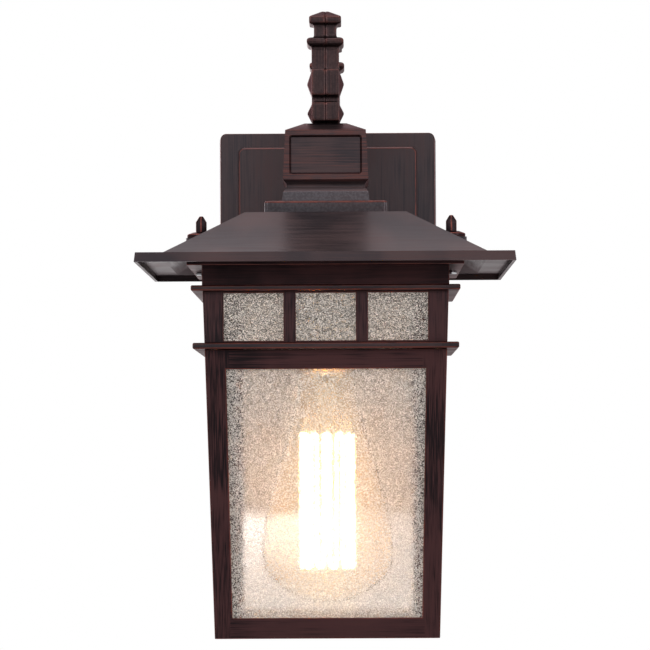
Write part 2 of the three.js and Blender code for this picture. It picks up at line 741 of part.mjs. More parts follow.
function retainers() {
  const inset = frameWall + glassGap + glassThickness + glassGap;
  const z0 = paneFootZ;
  const z1 = stripHeadZ;
  const ring = squareTurn([
    [cageHalf(z0) - inset, z0],
    [cageHalf(z1) - inset, z1],
    [cageHalf(z1) - inset - retainerThickness, z1],
    [cageHalf(z0) - inset - retainerThickness, z0],
  ]);
  const keep = cageHalf(z0) - inset - retainerLeg;
  const across = box([-keep, axisY - 100, z0 - 5], [keep, axisY + 100, z1 + 5]);
  const along = box([-100, axisY - keep, z0 - 5], [100, axisY + keep, z1 + 5]);
  const four = solidOf(onAxis(ring)).subtract(solidOf(across)).subtract(solidOf(along)).decompose();
  const key = (s) => Math.sign(s.boundingBox().min[1] - axisY) * 2 + Math.sign(s.boundingBox().min[0]);
  return four.sort((a, b) => key(a) - key(b));
}

const upperLedgeInner = cageHalf(windowTopZ) - frameWall;
const lowerLedgeInner = cageHalf(lowerLedgeZ) - frameWall;
const upperLedgeBottom = upperLedgeZ - seat - upperLedgeHeight;
add("cage_head", bronze, cageHead());
add(
  "upper_ledge",
  bronze,
  onAxis(ledge(cageTopHalf + ledgeOverhang, upperLedgeInner, upperLedgeBottom, upperLedgeZ - seat)),
);
add("window_frame", bronze, windowFrame());
add(
  "lower_ledge",
  bronze,
  onAxis(ledge(cageHalf(lowerLedgeZ) + ledgeOverhang, lowerLedgeInner, lowerLedgeZ - lowerLedgeHeight, lowerLedgeZ)),
);
add("body_frame", bronze, bodyFrame());
for (const [word, quarter] of quarters) {
  add(`upper_glass_${word}`, seededGlass, pane(quarter, stripFootZ, stripHeadZ));
  add(`lower_glass_${word}`, seededGlass, pane(quarter, paneFootZ, paneHeadZ));
}
["front_left", "front_right", "rear_left", "rear_right"].forEach((word, i) => {
  add(`glass_retainer_${word}`, bronzeInside, retainers()[i]);
});
for (const [word, side] of sides) {
  const shank = barAlongZ(studRadius, bandTopZ, bossTopZ + nutFlangeThickness + nutConeHeight + 3, side * studOffset);
  const head = barAlongZ(studRadius + 1.4, bandTopZ - 1.4, bandTopZ - seat, side * studOffset, axisY, 6);
  const neck = barAlongZ(studRadius, bandTopZ - 1, bandTopZ + 1, side * studOffset);
  add(`cage_stud_${word}`, steel, solidOf(shank).add(solidOf(head)).add(solidOf(neck)));
}

// ---------------------------------------------------------------- lampholder

function nipple() {
  const [z0, z1] = [capZ + 1, armZ + 5.5];
  return turn([[nippleBore, z0], [nippleRadius, z0], [nippleRadius, z1], [nippleBore, z1]], 24);
}

function ringNut() {
  const top = crownZ - roofSheet - seat - washerThickness - seat;
  const across = nutAcrossFlats / Math.sqrt(3);
  const bore = nippleRadius + seat;
  const blank = turn([[0, top - nutThickness], [across, top - nutThickness], [across, top], [0, top]], 6);
  return solidOf(onAxis(blank)).subtract(solidOf(barAlongZ(bore, top - 10, top + 5, 0, axisY, 24)));
}

function washer() {
  const top = crownZ - roofSheet - seat;
  const bore = nippleRadius + seat;
  const low = top - washerThickness;
  return turn([[bore, low], [washerRadius, low], [washerRadius, top], [bore, top]], 24);
}

function holderCap() {
  const top = capZ + capHeight;
  return turn(
    [
      [nippleRadius + seat, capZ],
      [capRadius, capZ],
      [capRadius, capZ + capHeight * 0.4],
      [capRadius * 0.8, capZ + capHeight * 0.75],
      [nippleRadius + 3, top],
      [nippleRadius + seat, top],
    ],
    28,
  );
}

function holderBody() {
  const top = capZ - seat;
  const roomZ = holderBottomZ + holderCavityDepth;
  return turn(
    [
      [holderCavityRadius, holderBottomZ],
      [holderRadius, holderBottomZ],
      [holderRadius, holderBottomZ + 22],
      [holderTopRadius, holderBottomZ + 27],
      [holderTopRadius, top],
      [nippleBore, top],
      [nippleBore, roomZ],
      [holderCavityRadius, roomZ],
    ],
    32,
  );
}

function screwShell() {
  const z0 = holderBottomZ + 1.5;
  const z1 = holderBottomZ + holderCavityDepth - 3;
  const inner = shellRadius - shellWall;
  return turn([[inner, z0], [shellRadius, z0], [shellRadius, z1], [inner, z1]], 32);
}

function contactTab() {
  const z = contactZ + 0.4;
  const roomZ = holderBottomZ + holderCavityDepth - seat;
  const outline = new THREE.Shape();
  outline.moveTo(-8, roomZ - 0.7).lineTo(-4, roomZ - 0.7).lineTo(3, z).lineTo(6, z).lineTo(6, z + 0.7);
  outline.lineTo(3.3, z + 0.7).lineTo(-3.7, roomZ).lineTo(-8, roomZ);
  return pushForward(outline, 3, 6).translate([0, axisY, 0]);
}

add("nipple", steel, onAxis(nipple()));
add("nipple_washer", steel, onAxis(washer()));
add("nipple_nut", steel, ringNut());
add("holder_cap", brass, onAxis(holderCap()));
add("holder_body", porcelain, onAxis(holderBody()));
add("holder_screw_shell", brass, onAxis(screwShell()));
add("holder_contact", brass, contactTab());

// ---------------------------------------------------------------- lamp

/** The bulb's outline as [share of its radius, distance below the contact]. */
const bulbNeckZ = contactZ - 27.5;
const bulbTipZ = contactZ - bulbLength;
function bulbProfile(inset) {
  const shape = [
    [0.425, 0],
    [0.44, 8],
    [0.5, 18],
    [0.64, 34],
    [0.8, 51],
    [0.92, 66],
    [0.985, 78],
    [1, 86],
    [0.985, 92],
    [0.93, 97.5],
    [0.8, 102.5],
    [0.56, 107.5],
    [0.28, 111.2],
  ];
  const drop = (bulbNeckZ - bulbTipZ) / 112.9;
  const wall = shape.map(([share, down]) => [share * bulbRadius - inset, bulbNeckZ - down * drop]);
  return [...wall, [0, bulbTipZ + inset]];
}

function bulbGlass() {
  const outer = bulbProfile(0);
  const inner = bulbProfile(bulbWall).reverse();
  return turn([...outer, ...inner], 36);
}

function bulbBase() {
  const top = contactZ - 4.5;
  const bottom = top - baseHeight;
  return turn([[0, bottom], [baseRadius, bottom], [baseRadius, top - 1], [baseRadius - 2, top], [0, top]], 32);
}

function bulbStem() {
  const top = contactZ - 4.5 - baseHeight - seat;
  const foot = contactZ - filamentTop - 3;
  return turn([[0, foot], [2, foot], [2.6, top - 12], [8, top - 1], [8, top], [0, top]], 20);
}

/** Hairpins up and down round a cylinder, as one wire. */
function filament() {
  const points = [];
  const [top, bottom] = [contactZ - filamentTop, contactZ - filamentBottom];
  for (let i = 0; i < filamentTurns * 2; i++) {
    const angle = (2 * Math.PI * (i + 0.5)) / (filamentTurns * 2 + 1);
    const [x, y] = [filamentRadius * Math.cos(angle), axisY + filamentRadius * Math.sin(angle)];
    const ends = i % 2 ? [bottom, top] : [top, bottom];
    points.push([x, y, ends[0]], [x, y, (top + bottom) / 2], [x, y, ends[1]]);
  }
  return wire(points, filamentWire / 2, filamentTurns * 30, 5);
}

add("bulb_glass", lampGlass, onAxis(bulbGlass()));
add("bulb_base", brass, onAxis(bulbBase()));
const insulatorZ = contactZ - 4.5 + seat;
add(
  "bulb_insulator",
  vitrite,
  onAxis(turn([[0, insulatorZ], [10, insulatorZ], [5, contactZ - 1.6], [0, contactZ - 1.6]], 28)),
);
add("bulb_contact", steel, onAxis(turn([[0, contactZ - 1.5], [4.2, contactZ - 1.5], [3, contactZ], [0, contactZ]], 24)));
add("bulb_stem", lampGlass, onAxis(bulbStem()));
add("bulb_filament", glow, filament());

// ---------------------------------------------------------------- wiring

/** A lead from the lampholder, up the nipple, along the arm and into the wall plate. */
function lead(hand, endX, endZ) {
  const start = holderBottomZ + holderCavityDepth + 2;
  const side = hand * (leadRadius + 0.25);
  const inPlateY = -plateDepth + plateWall + 5;
  return wire(
    [
      [side, axisY, start],
      [side, axisY, capZ + 10],
      [side, axisY, crownZ],
      [side, axisY, blockTopZ],
      [side, axisY, wirewayZ - 4],
      [side, axisY + 1.3, wirewayZ - 1.2],
      [side, axisY + 4, wirewayZ],
      [side, (axisY + rearPostY) / 2, wirewayZ],
      [side, rearPostY - 4, wirewayZ],
      [side, rearPostY - 1.3, wirewayZ - 1.2],
      [side, rearPostY, wirewayZ - 4],
      [side, rearPostY, (wirewayZ + wireHoleZ) / 2],
      [side, rearPostY, wireHoleZ + 4],
      [side, rearPostY + 1.3, wireHoleZ + 1.2],
      [side, rearPostY + 4, wireHoleZ],
      [side, inPlateY - 4, wireHoleZ],
      [side * 3, inPlateY, wireHoleZ],
      [endX * 0.6, inPlateY + 1, wireHoleZ - 2],
      [endX, inPlateY + 1, endZ - 15],
      [endX, inPlateY + 1, endZ - 11],
      [endX, inPlateY + 1, endZ],
    ],
    leadRadius,
    110,
  );
}

function wireNut(x, y, z) {
  const profile = [
    [leadRadius + 0.2, 0],
    [wireNutRadius, 0],
    [wireNutRadius, 2],
    [wireNutRadius * 0.75, wireNutLength - 1],
    [wireNutRadius * 0.55, wireNutLength],
    [0, wireNutLength],
    [0, wireNutLength - 5],
    [leadRadius + 0.2, wireNutLength - 5],
  ];
  return turn(profile, 16).translate(x, y, z);
}

const splices = [["black", -1, blackWire], ["white", 1, whiteWire]];
for (const [word, side, colour] of splices) {
  const [x, z] = [side * 18, wireHoleZ + 16];
  add(`lead_${word}`, colour, lead(side, x, z));
  add(`wire_nut_${word}`, nutPlastic, wireNut(x, -plateDepth + plateWall + 6, z - 8));
}

/** The bare earth wire, from its screw on the crossbar to the third splice. */
function earthLead() {
  const y = -crossbarThickness - 1.8;
  const x = groundScrewX;
  const points = [];
  for (let i = 0; i <= 6; i++) {
    const angle = -Math.PI / 2 + (i * Math.PI) / 4.6;
    points.push([x + 3.1 * Math.cos(angle), y, 3.1 * Math.sin(angle)]);
  }
  points.push([x - 8, y - 3, 12], [x - 2, earthNutY, 24], [earthNutX, earthNutY, 42]);
  points.push([earthNutX, earthNutY, earthNutZ - 5], [earthNutX, earthNutY, earthNutZ + 8]);
  return wire(points, 0.7, 60, 6);
}
const earthNutX = 36;
const earthNutY = -10.8;
const earthNutZ = wireHoleZ + 6;
add("lead_earth", copper, earthLead());
add("wire_nut_earth", nutPlastic, wireNut(earthNutX, earthNutY, earthNutZ));

export default lantern;
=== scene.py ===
"""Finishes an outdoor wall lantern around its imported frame: metalwork, seeded glass, lamp and stage."""

import json
import math

import bmesh
import bpy
import numpy as np
from bpy.props import FloatProperty, FloatVectorProperty, IntProperty, PointerProperty
from mathutils import Matrix, Vector


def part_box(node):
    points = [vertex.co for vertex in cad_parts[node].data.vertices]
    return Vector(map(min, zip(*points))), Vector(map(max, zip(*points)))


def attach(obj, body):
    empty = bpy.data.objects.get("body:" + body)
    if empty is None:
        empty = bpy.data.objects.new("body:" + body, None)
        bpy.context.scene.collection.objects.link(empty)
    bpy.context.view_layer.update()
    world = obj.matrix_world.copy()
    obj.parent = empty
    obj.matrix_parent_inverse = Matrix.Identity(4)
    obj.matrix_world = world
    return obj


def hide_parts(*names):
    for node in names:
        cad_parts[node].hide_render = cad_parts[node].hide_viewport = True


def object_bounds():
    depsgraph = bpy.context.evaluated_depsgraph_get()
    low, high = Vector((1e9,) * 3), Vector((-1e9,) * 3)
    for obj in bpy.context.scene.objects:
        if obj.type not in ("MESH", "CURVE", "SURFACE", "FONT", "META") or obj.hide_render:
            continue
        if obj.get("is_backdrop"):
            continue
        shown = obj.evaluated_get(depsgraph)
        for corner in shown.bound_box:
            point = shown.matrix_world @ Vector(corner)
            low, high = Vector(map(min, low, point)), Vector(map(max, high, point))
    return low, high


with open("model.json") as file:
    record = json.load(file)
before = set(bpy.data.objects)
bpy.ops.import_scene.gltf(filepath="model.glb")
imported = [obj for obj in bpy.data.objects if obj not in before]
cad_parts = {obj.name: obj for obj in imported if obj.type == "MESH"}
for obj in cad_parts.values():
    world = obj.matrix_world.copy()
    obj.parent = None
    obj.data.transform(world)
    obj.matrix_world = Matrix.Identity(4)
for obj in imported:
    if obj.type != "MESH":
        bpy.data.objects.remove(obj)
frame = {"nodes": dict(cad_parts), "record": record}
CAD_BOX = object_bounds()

bl_info = {
    "name": "Wall Lantern",
    "version": (1, 0, 0),
    "blender": (4, 5, 0),
    "location": "View3D > Sidebar > Lantern",
    "description": "Builds the finished look of an arts-and-crafts wall lantern on its frame",
    "category": "Object",
}

MM = 0.001
TURN = 2.0 * math.pi
# corners nearer than this are one corner
WELD = 2e-6
# edges that turn more than this are shaded as hard
HARD_EDGE = math.radians(50)
QUARTERS = {"front": 0, "right": 1, "rear": 2, "left": 3}
SIDES = ("left", "right")

NODES = frame["nodes"]
BODIES = frame["record"]["behaviour"]["bodies"]
BODY_OF = {node: body for body, nodes in BODIES.items() for node in nodes}


def centre_of(node):
    """Middle of a node's box."""
    low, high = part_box(node)
    return (low + high) / 2


def spread(node):
    """Half the width across a node's box, and its lowest and highest point."""
    low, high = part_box(node)
    return (high.x - low.x) / 2, low.z, high.z


AXIS = centre_of("bulb_glass")
AXIS.z = 0.0
BLOCK = centre_of("neck_block")
# how much narrower the neck block gets over a height of one
BLOCK_TAPER = 0.0475
# from the axis to where the body frame's stiles begin
STILE_REACH = 46 * MM


# ---------------- sizes and colours

# the metal seen at a low angle
SHEEN = (0.55, 0.42, 0.43)
PALE_SHEEN = (0.93, 0.86, 0.88)
# clear glass, and the painted glow of its seeds, far from the filament and beside it
GLASS_TINT = (0.968, 0.945, 0.925)
FAR_PAINTED_GLOW = (0.22, 0.196, 0.176)
NEAR_PAINTED_GLOW = (0.40, 0.335, 0.25)
# half the width and height of the patch of glass where the seeds' painted glow is brightest
PAINTED_HALO = (19 * MM, 44 * MM)
# painted lamplight glowing in the lamp's own glass, and the filament's palest patches
PAINTED_LAMPLIGHT = (1.0, 0.74, 0.46)
PALE_WIRE = (1.0, 0.74, 0.42)


def tint(name, description, default):
    """A colour property."""
    settings = {"subtype": "COLOR", "size": 3, "default": default}
    return FloatVectorProperty(name=name, description=description, **settings)


def length(name, description, default):
    """A length property, in metres."""
    settings = {"subtype": "DISTANCE", "unit": "LENGTH", "default": default}
    return FloatProperty(name=name, description=description, **settings)


def amount(name, description, default):
    """A property that is a plain number."""
    return FloatProperty(name=name, description=description, default=default)


def tally(name, description, default):
    """A property that is a whole number."""
    return IntProperty(name=name, description=description, default=default)


class LanternFinish(bpy.types.PropertyGroup):
    """Colours and finish of the lantern's metal, glass and light."""

    bronze: tint("Bronze", "Warm part of the oil-rubbed coat", (0.072, 0.044, 0.044))
    ruddy: tint("Ruddy", "Warm part of the coat on the cage's frames", (0.090, 0.041, 0.043))
    umber: tint("Umber", "Dark part of the oil-rubbed coat", (0.026, 0.0185, 0.021))
    slate: tint("Slate", "Coat where polishing left it grey", (0.104, 0.098, 0.110))
    copper: tint("Copper", "Metal that shows where the coat is rubbed", (0.17, 0.054, 0.044))
    brush_pitch: length("Brush pitch", "Width of a brush line", 0.55 * MM)
    milk: tint("Milk", "Colour of the seeds in the glass", (0.84, 0.77, 0.71))
    # the seeds' painted glow: emission standing for the lamplight that they catch
    milk_painted_glow: amount("Milk glow", "Lamplight that the seeds catch", 1.25)
    glow: tint("Glow", "Colour of the lit filament", (1.0, 0.62, 0.26))
    glow_strength: amount("Glow strength", "Brightness of the filament", 22.0)


class LanternSizes(bpy.types.PropertyGroup):
    """Sizes that only the finished look has."""

    edge: length("Edge", "Round on the sheet metal's edges", 0.4 * MM)
    cast_grain: length("Cast grain", "Size of the squares on the castings' surface", 0.55 * MM)
    cast_passes: tally("Cast passes", "How often the castings are smoothed", 3)
    relief: length("Relief", "Depth of the seeded glass's surface", 0.04 * MM)
    relief_step: length("Relief step", "Grid step on the seeded glass", 0.7 * MM)
    lamp_wall: length("Lamp wall", "Thickness of the lamp's glass", 0.8 * MM)
    hairpins: tally("Hairpins", "Loops of the filament cage", 12)
    filament: length("Filament", "Thickness of the filament", 1.1 * MM)
    thread_pitch: length("Thread pitch", "Pitch of the lamp's screw thread", 3.63 * MM)
    thread_depth: length("Thread depth", "Depth of the lamp's screw thread", 0.8 * MM)


def finish():
    """The lantern's colours and finish, as set in the scene."""
    return bpy.context.scene.lantern_finish


def sizes():
    """The finished look's own sizes, as set in the scene."""
    return bpy.context.scene.lantern_sizes


# ---------------- shader maths


class Field:
    """A shader socket; arithmetic on it adds Math nodes."""

    def __init__(self, bench, socket):
        self.bench = bench
        self.socket = socket

    def _math(self, operation, *values):
        return self.bench.node("ShaderNodeMath", {"operation": operation}, dict(enumerate(values)))

    def __add__(self, other):
        return self._math("ADD", self, other)

    def __radd__(self, other):
        return self._math("ADD", other, self)

    def __sub__(self, other):
        return self._math("SUBTRACT", self, other)

    def __rsub__(self, other):
        return self._math("SUBTRACT", other, self)

    def __mul__(self, other):
        return self._math("MULTIPLY", self, other)

    def __rmul__(self, other):
        return self._math("MULTIPLY", other, self)

    def __truediv__(self, other):
        return self._math("DIVIDE", self, other)

    def __abs__(self):
        return self._math("ABSOLUTE", self)

    def least(self, other):
        return self._math("MINIMUM", self, other)

    def most(self, other):
        return self._math("MAXIMUM", self, other)


class Bench:
    """The node tree of a material or of the world."""

    def __init__(self, material):
        material.use_nodes = True
        self.tree = material.node_tree
        self.tree.nodes.clear()

    def node(self, kind, settings, sockets, output=0):
        """Adds a node: its settings first, then its sockets' values or links."""
        made = self.tree.nodes.new(kind)
        for key, value in settings.items():
            if key == "stops":
                ramp = made.color_ramp
                while len(ramp.elements) < len(value):
                    ramp.elements.new(0.5)
                for element, (place, colour) in zip(ramp.elements, value):
                    element.position = place
                    element.color = colour
            else:
                setattr(made, key, value)
        for key, value in sockets.items():
            socket = made.inputs[key]
            if isinstance(value, Field):
                self.tree.links.new(value.socket, socket)
            else:
                socket.default_value = value
        return Field(self, made.outputs[output])

    def place(self):
        """Object coordinates."""
        return self.node("ShaderNodeTexCoord", {}, {}, "Object")

    def axes(self, vector):
        """X, Y and Z of a vector."""
        split = self.node("ShaderNodeSeparateXYZ", {}, {0: vector})
        outputs = split.socket.node.outputs
        return [Field(self, outputs[i]) for i in range(3)]

    def stretched(self, vector, scale):
        """A vector scaled along each axis."""
        return self.node("ShaderNodeVectorMath", {"operation": "MULTIPLY"}, {0: vector, 1: scale})

    def noise(self, vector, scale, detail=2.0, rough=0.5):
        """Noise from 0 to 1, with scale patches to the metre."""
        sockets = {"Vector": vector, "Scale": scale, "Detail": detail, "Roughness": rough}
        return self.node("ShaderNodeTexNoise", {}, sockets, "Fac")

    def step(self, value, low, high, out_low=0.0, out_high=1.0):
        """A smooth rise from out_low to out_high as value goes from low to high."""
        sockets = {"Value": value, "From Min": low, "From Max": high}
        sockets.update({"To Min": out_low, "To Max": out_high})
        return self.node("ShaderNodeMapRange", {"interpolation_type": "SMOOTHSTEP"}, sockets)

    def mix(self, factor, first, second):
        """A colour between two."""
        sockets = {0: factor, 6: colour(first), 7: colour(second)}
        return self.node("ShaderNodeMix", {"data_type": "RGBA"}, sockets, 2)

    def bump(self, height, strength=1.0):
        """A bump from heights in metres."""
        sockets = {"Height": height, "Distance": 1.0, "Strength": strength}
        return self.node("ShaderNodeBump", {}, sockets)

    def surface(self, shader):
        """Links a shader to the material's output."""
        end = self.tree.nodes.new("ShaderNodeOutputMaterial")
        self.tree.links.new(shader.socket, end.inputs["Surface"])


def colour(value):
    """Red, green and blue with full alpha, or a field as it is."""
    return value if isinstance(value, Field) else (*value[:3], 1.0)


def principled(bench, **sockets):
    """A Principled shader; underscores in the names stand for spaces."""
    named = {key.replace("_", " "): value for key, value in sockets.items()}
    return bench.node("ShaderNodeBsdfPrincipled", {}, named)


# ---------------- materials


def brushed_bronze(
    bench,
    grain="level",
    warm="bronze",
    warmth=0.0,
    slate=0.0,
    streak=0.25,
    rubbed=0.0,
    edge=False,
    block=False,
    cast=0.0,
    grit=0.0,
    sheen=SHEEN,
):
    """Oil-rubbed bronze: a dark coat clouded warm and grey, fine brush lines, copper where it is rubbed.

    grain is "level", "upright" or "frame" (upright on the stiles, level on the rails). warm names the
    coat's warm colour, warmth adds to its share, slate is the share of grey in it, streak how far the
    brush lines shade it and rubbed the share of copper in them. edge is the finish of a rubbed edge,
    block rubs the neck block's borders and greys its foot, and cast is a casting's unevenness in
    metres, whose rubbed edges come from the mesh's attribute. grit is the height of sand-cast grains
    in metres, and sheen the colour of the metal at a low angle.
    """
    place = bench.place()
    x, y, z = bench.axes(place)
    line_length = 55.0
    fast = 1.0 / finish().brush_pitch
    slow = fast / line_length
    level_lines = bench.noise(bench.stretched(place, (slow, slow, fast)), 1.0, 2.0, 0.6)
    upright_lines = bench.noise(bench.stretched(place, (fast, fast, slow)), 1.0, 2.0, 0.6)
    if grain == "level":
        lines = level_lines
    elif grain == "upright":
        lines = upright_lines
    else:
        nearest = abs(x - AXIS.x).least(abs(y - AXIS.y))
        stile = bench.step(nearest, STILE_REACH - 0.5 * MM, STILE_REACH + 0.5 * MM)
        lines = level_lines + stile * (upright_lines - level_lines)
    cloud = bench.noise(place, 24.0, 3.0, 0.5)
    wear = bench.noise(place, 170.0, 4.0, 0.65)
    grey = slate * bench.step(cloud + 0.2 * wear, 0.3, 0.8, 1.0, 0.65)
    shown = bench.step(lines + 0.6 * cloud, 0.80, 1.05, 0.0, 0.08 + rubbed)
    if block:
        height = z - BLOCK.z
        reach = abs(x - AXIS.x).most(abs(y - AXIS.y)) + height * BLOCK_TAPER
        outer = bench.step(reach, 19.2 * MM, 19.7 * MM) * bench.step(height, -13 * MM, -12 * MM)
        middle = 1.0 - bench.step(abs(height - 2 * MM), 1 * MM, 9 * MM)
        middle = middle * bench.step(height, -12 * MM, -10 * MM)
        foot = bench.step(height, -14.2 * MM, -14.7 * MM)
        shown = shown.most(outer * bench.step(lines + 0.4 * wear, 0.5, 0.9, 0.0, 0.5))
        shown = shown.most(middle * bench.step(lines, 0.45, 0.75, 0.0, 0.35))
        grey = grey.most(0.75 * foot)
    level = bench.step(cloud + streak * lines + warmth, 0.34 + 0.48 * streak, 0.64 + 0.48 * streak)
    coat = bench.mix(level, finish().umber, getattr(finish(), warm))
    coat = bench.mix(grey, coat, finish().slate)
    if grit or block:
        grains = bench.noise(place, 950.0, 2.0, 0.6)
        gritty = foot if block else 1.0
        coat = bench.mix(gritty * bench.step(grains, 0.62, 0.40, 0.0, 0.35), coat, finish().umber)
    if edge:
        shown = shown.most(bench.step(wear + 0.3 * lines, 0.42, 0.78, 0.25, 0.95))
    if cast:
        ridge = bench.node("ShaderNodeAttribute", {"attribute_name": "ridge"}, {}, "Fac")
        shown = shown.most(ridge * bench.step(wear, 0.38, 0.62, 0.05, 0.5))
    base = bench.mix(shown, coat, finish().copper)
    rough = bench.step(lines + 0.4 * cloud, 0.4, 1.0, 0.30, 0.42)
    relief = lines * 0.003 * MM + cloud * cast + wear * (0.6 * cast)
    if grit or block:
        relief = relief + gritty * grains * (grit or 0.06 * MM)
    return principled(
        bench,
        Base_Color=base,
        Metallic=0.92,
        Roughness=rough,
        IOR=1.5,
        Specular_Tint=colour(sheen),
        Normal=bench.bump(relief, 0.5),
    )


def plain(bench, base, rough, metallic=0.0, mottle=0.12, scale=400.0, depth=0.01 * MM, **extra):
    """A single finish with a fine mottle in its colour, gloss and surface."""
    spots = bench.noise(bench.place(), scale, 3.0, 0.6)
    light = tuple(min(1.0, c * (1 + mottle)) for c in base)
    dark = tuple(c * (1 - mottle) for c in base)
    sockets = {
        "Base_Color": bench.mix(spots, dark, light),
        "Roughness": bench.step(spots, 0.3, 0.7, rough * 0.85, min(1.0, rough * 1.15)),
        "Metallic": metallic,
        "Normal": bench.bump(spots * depth, 0.6),
    }
    sockets.update(extra)
    return principled(bench, **sockets)


def seeded_glass(bench, crowd=0.62, sharp=0.20, relief=1.0, squash=1.0, shade=0.6):
    """Glass crowded with fine seeds: clear between them, milky on them, with painted light and shade.

    crowd is the most that the seeds hide, sharp how softly they begin, relief the strength of the
    surface's waves, squash how much flatter than wide the seeds are and shade how bright their painted
    dark sides are: the milk is painted in lit and shaded patches. The seeds' painted glow, emission
    standing for caught lamplight, is brightest in an ellipse at the middle of each pane, level with
    the filament.
    """
    place = bench.place()
    x, y, z = bench.axes(place)
    flat = bench.stretched(place, (1.0, 1.0, squash))
    fine = bench.noise(flat, 1900.0, 1.0, 0.5)
    coarse = bench.noise(flat, 520.0, 2.0, 0.5)
    normal = bench.bump(fine * (0.022 * MM * relief) + coarse * (0.012 * MM * relief))
    clear = principled(
        bench,
        Base_Color=colour(GLASS_TINT),
        Roughness=0.02,
        IOR=1.5,
        Transmission_Weight=1.0,
        Normal=normal,
    )
    # painted glow: brightest in an ellipse fixed on each pane, level with the filament
    across = abs(x - AXIS.x).least(abs(y - AXIS.y)) / PAINTED_HALO[0]
    along = abs(z - centre_of("bulb_filament").z) / PAINTED_HALO[1]
    painted_halo = bench.step(across * across + along * along, 2.6, 0.2)
    # painted light and shade: the milk is split into lit patches and darker painted-shade patches
    lit = bench.step(bench.noise(flat, 1350.0, 2.0, 0.6), 0.40, 0.54)
    painted_glint = bench.mix(painted_halo, FAR_PAINTED_GLOW, NEAR_PAINTED_GLOW)
    # the painted glow, dimmed on the painted-shade patches
    dull = bench.node("ShaderNodeVectorMath", {"operation": "SCALE"}, {0: painted_glint, "Scale": shade})
    shaded = tuple(shade * c for c in finish().milk)
    milk = principled(
        bench,
        Base_Color=bench.mix(lit, shaded, finish().milk),
        Roughness=0.4,
        IOR=1.45,
        Emission_Color=bench.mix(lit, dull, painted_glint),
        Emission_Strength=finish().milk_painted_glow,
        Normal=normal,
    )
    starts = 0.70
    seeds = bench.step(fine + 0.35 * coarse, starts - sharp / 2, starts + sharp / 2, 0.0, crowd)
    return bench.node("ShaderNodeMixShader", {}, {0: seeds, 1: clear, 2: milk})


def lamp_glass(bench, tone, glow):
    """Thin glass with a faint painted glow: emission standing for the filament's light that it catches.
    """
    return principled(
        bench,
        Base_Color=colour(tone),
        Roughness=0.0,
        IOR=1.25,
        Transmission_Weight=1.0,
        Emission_Color=colour(PAINTED_LAMPLIGHT),
        Emission_Strength=glow,
    )


def glowing(bench):
    """The lit filament, in patches a little paler than its own colour."""
    uneven = bench.noise(bench.place(), 90.0, 2.0)
    return principled(
        bench,
        Base_Color=colour(finish().glow),
        Roughness=0.5,
        Emission_Color=bench.mix(uneven, finish().glow, PALE_WIRE),
        Emission_Strength=finish().glow_strength,
    )


MATERIALS = {}


def material(name):
    """A material of this lantern by name, made when it is first asked for."""
    if name not in MATERIALS:
        MATERIALS[name] = bpy.data.materials.new(name)
        bench = Bench(MATERIALS[name])
        bench.surface(RECIPES[name](bench))
    return MATERIALS[name]


def by(recipe, *how, **more):
    """A recipe with its settings, still without the material that it is for."""
    return lambda bench: recipe(bench, *how, **more)


def bronze(**how):
    """Brushed bronze with some settings."""
    return by(brushed_bronze, **how)


RECIPES = {
    "bronze_level": bronze(),
    "bronze_slope": bronze(slate=0.2, sheen=PALE_SHEEN),
    "bronze_slate": bronze(slate=0.85, grit=0.03 * MM, sheen=PALE_SHEEN),
    "bronze_upright": bronze(grain="upright", slate=0.45, streak=1.0, warmth=0.1),
    "bronze_window": bronze(grain="upright", warm="ruddy", slate=0.12, streak=0.9, warmth=0.04),
    "bronze_frame": bronze(grain="frame", warm="ruddy", streak=0.9, warmth=0.07),
    "bronze_band": bronze(warm="ruddy"),
    "bronze_ledge": bronze(slate=0.3),
    "bronze_cast": bronze(grain="upright", slate=0.1, streak=0.6, cast=0.25 * MM, grit=0.02 * MM),
    "bronze_block": bronze(slate=0.25, streak=0.8, block=True),
    "bronze_edge": bronze(edge=True),
    "bronze_inside": bronze(grain="upright", warm="ruddy", rubbed=0.4),
    "seeded_glass": seeded_glass,
    # the window panes' seeds have near-black painted shade on their dark sides
    "window_glass": by(seeded_glass, crowd=0.95, sharp=0.08, relief=1.5, squash=1.5, shade=0.05),
    # the lamp's glass and its stem, each with a faint painted glow
    "lamp_glass": by(lamp_glass, (1.0, 0.95, 0.88), 0.025),
    "stem_glass": by(lamp_glass, (0.97, 0.97, 0.95), 0.12),
    "glowing_wire": glowing,
    "zinc_steel": by(plain, (0.62, 0.62, 0.64), 0.32, 1.0),
    "dull_brass": by(plain, (0.66, 0.46, 0.19), 0.3, 1.0),
    "bare_copper": by(plain, (0.62, 0.30, 0.16), 0.35, 1.0),
    "glazed_porcelain": by(plain, (0.84, 0.81, 0.76), 0.16, 0.0, 0.03, 120.0, Coat_Weight=0.6),
    "black_foam": by(plain, (0.03, 0.03, 0.032), 0.9, 0.0, 0.4, 1500.0, 0.1 * MM),
    "black_vitrite": by(plain, (0.02, 0.02, 0.03), 0.12, 0.0, 0.1),
    "black_insulation": by(plain, (0.02, 0.02, 0.022), 0.4),
    "white_insulation": by(plain, (0.78, 0.77, 0.74), 0.4),
    "orange_nylon": by(plain, (0.78, 0.30, 0.05), 0.45),
    "green_dyed_steel": by(plain, (0.08, 0.34, 0.14), 0.3, 0.8),
}


# ---------------- meshes


def settle(piece, body, replaces=()):
    """Rides a piece on its body and hides the CAD nodes that it replaces."""
    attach(piece, body)
    if replaces:
        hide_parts(*replaces)


def linked(name, data):
    """A new object in the scene, at the origin."""
    made = bpy.data.objects.new(name, data)
    bpy.context.scene.collection.objects.link(made)
    return made


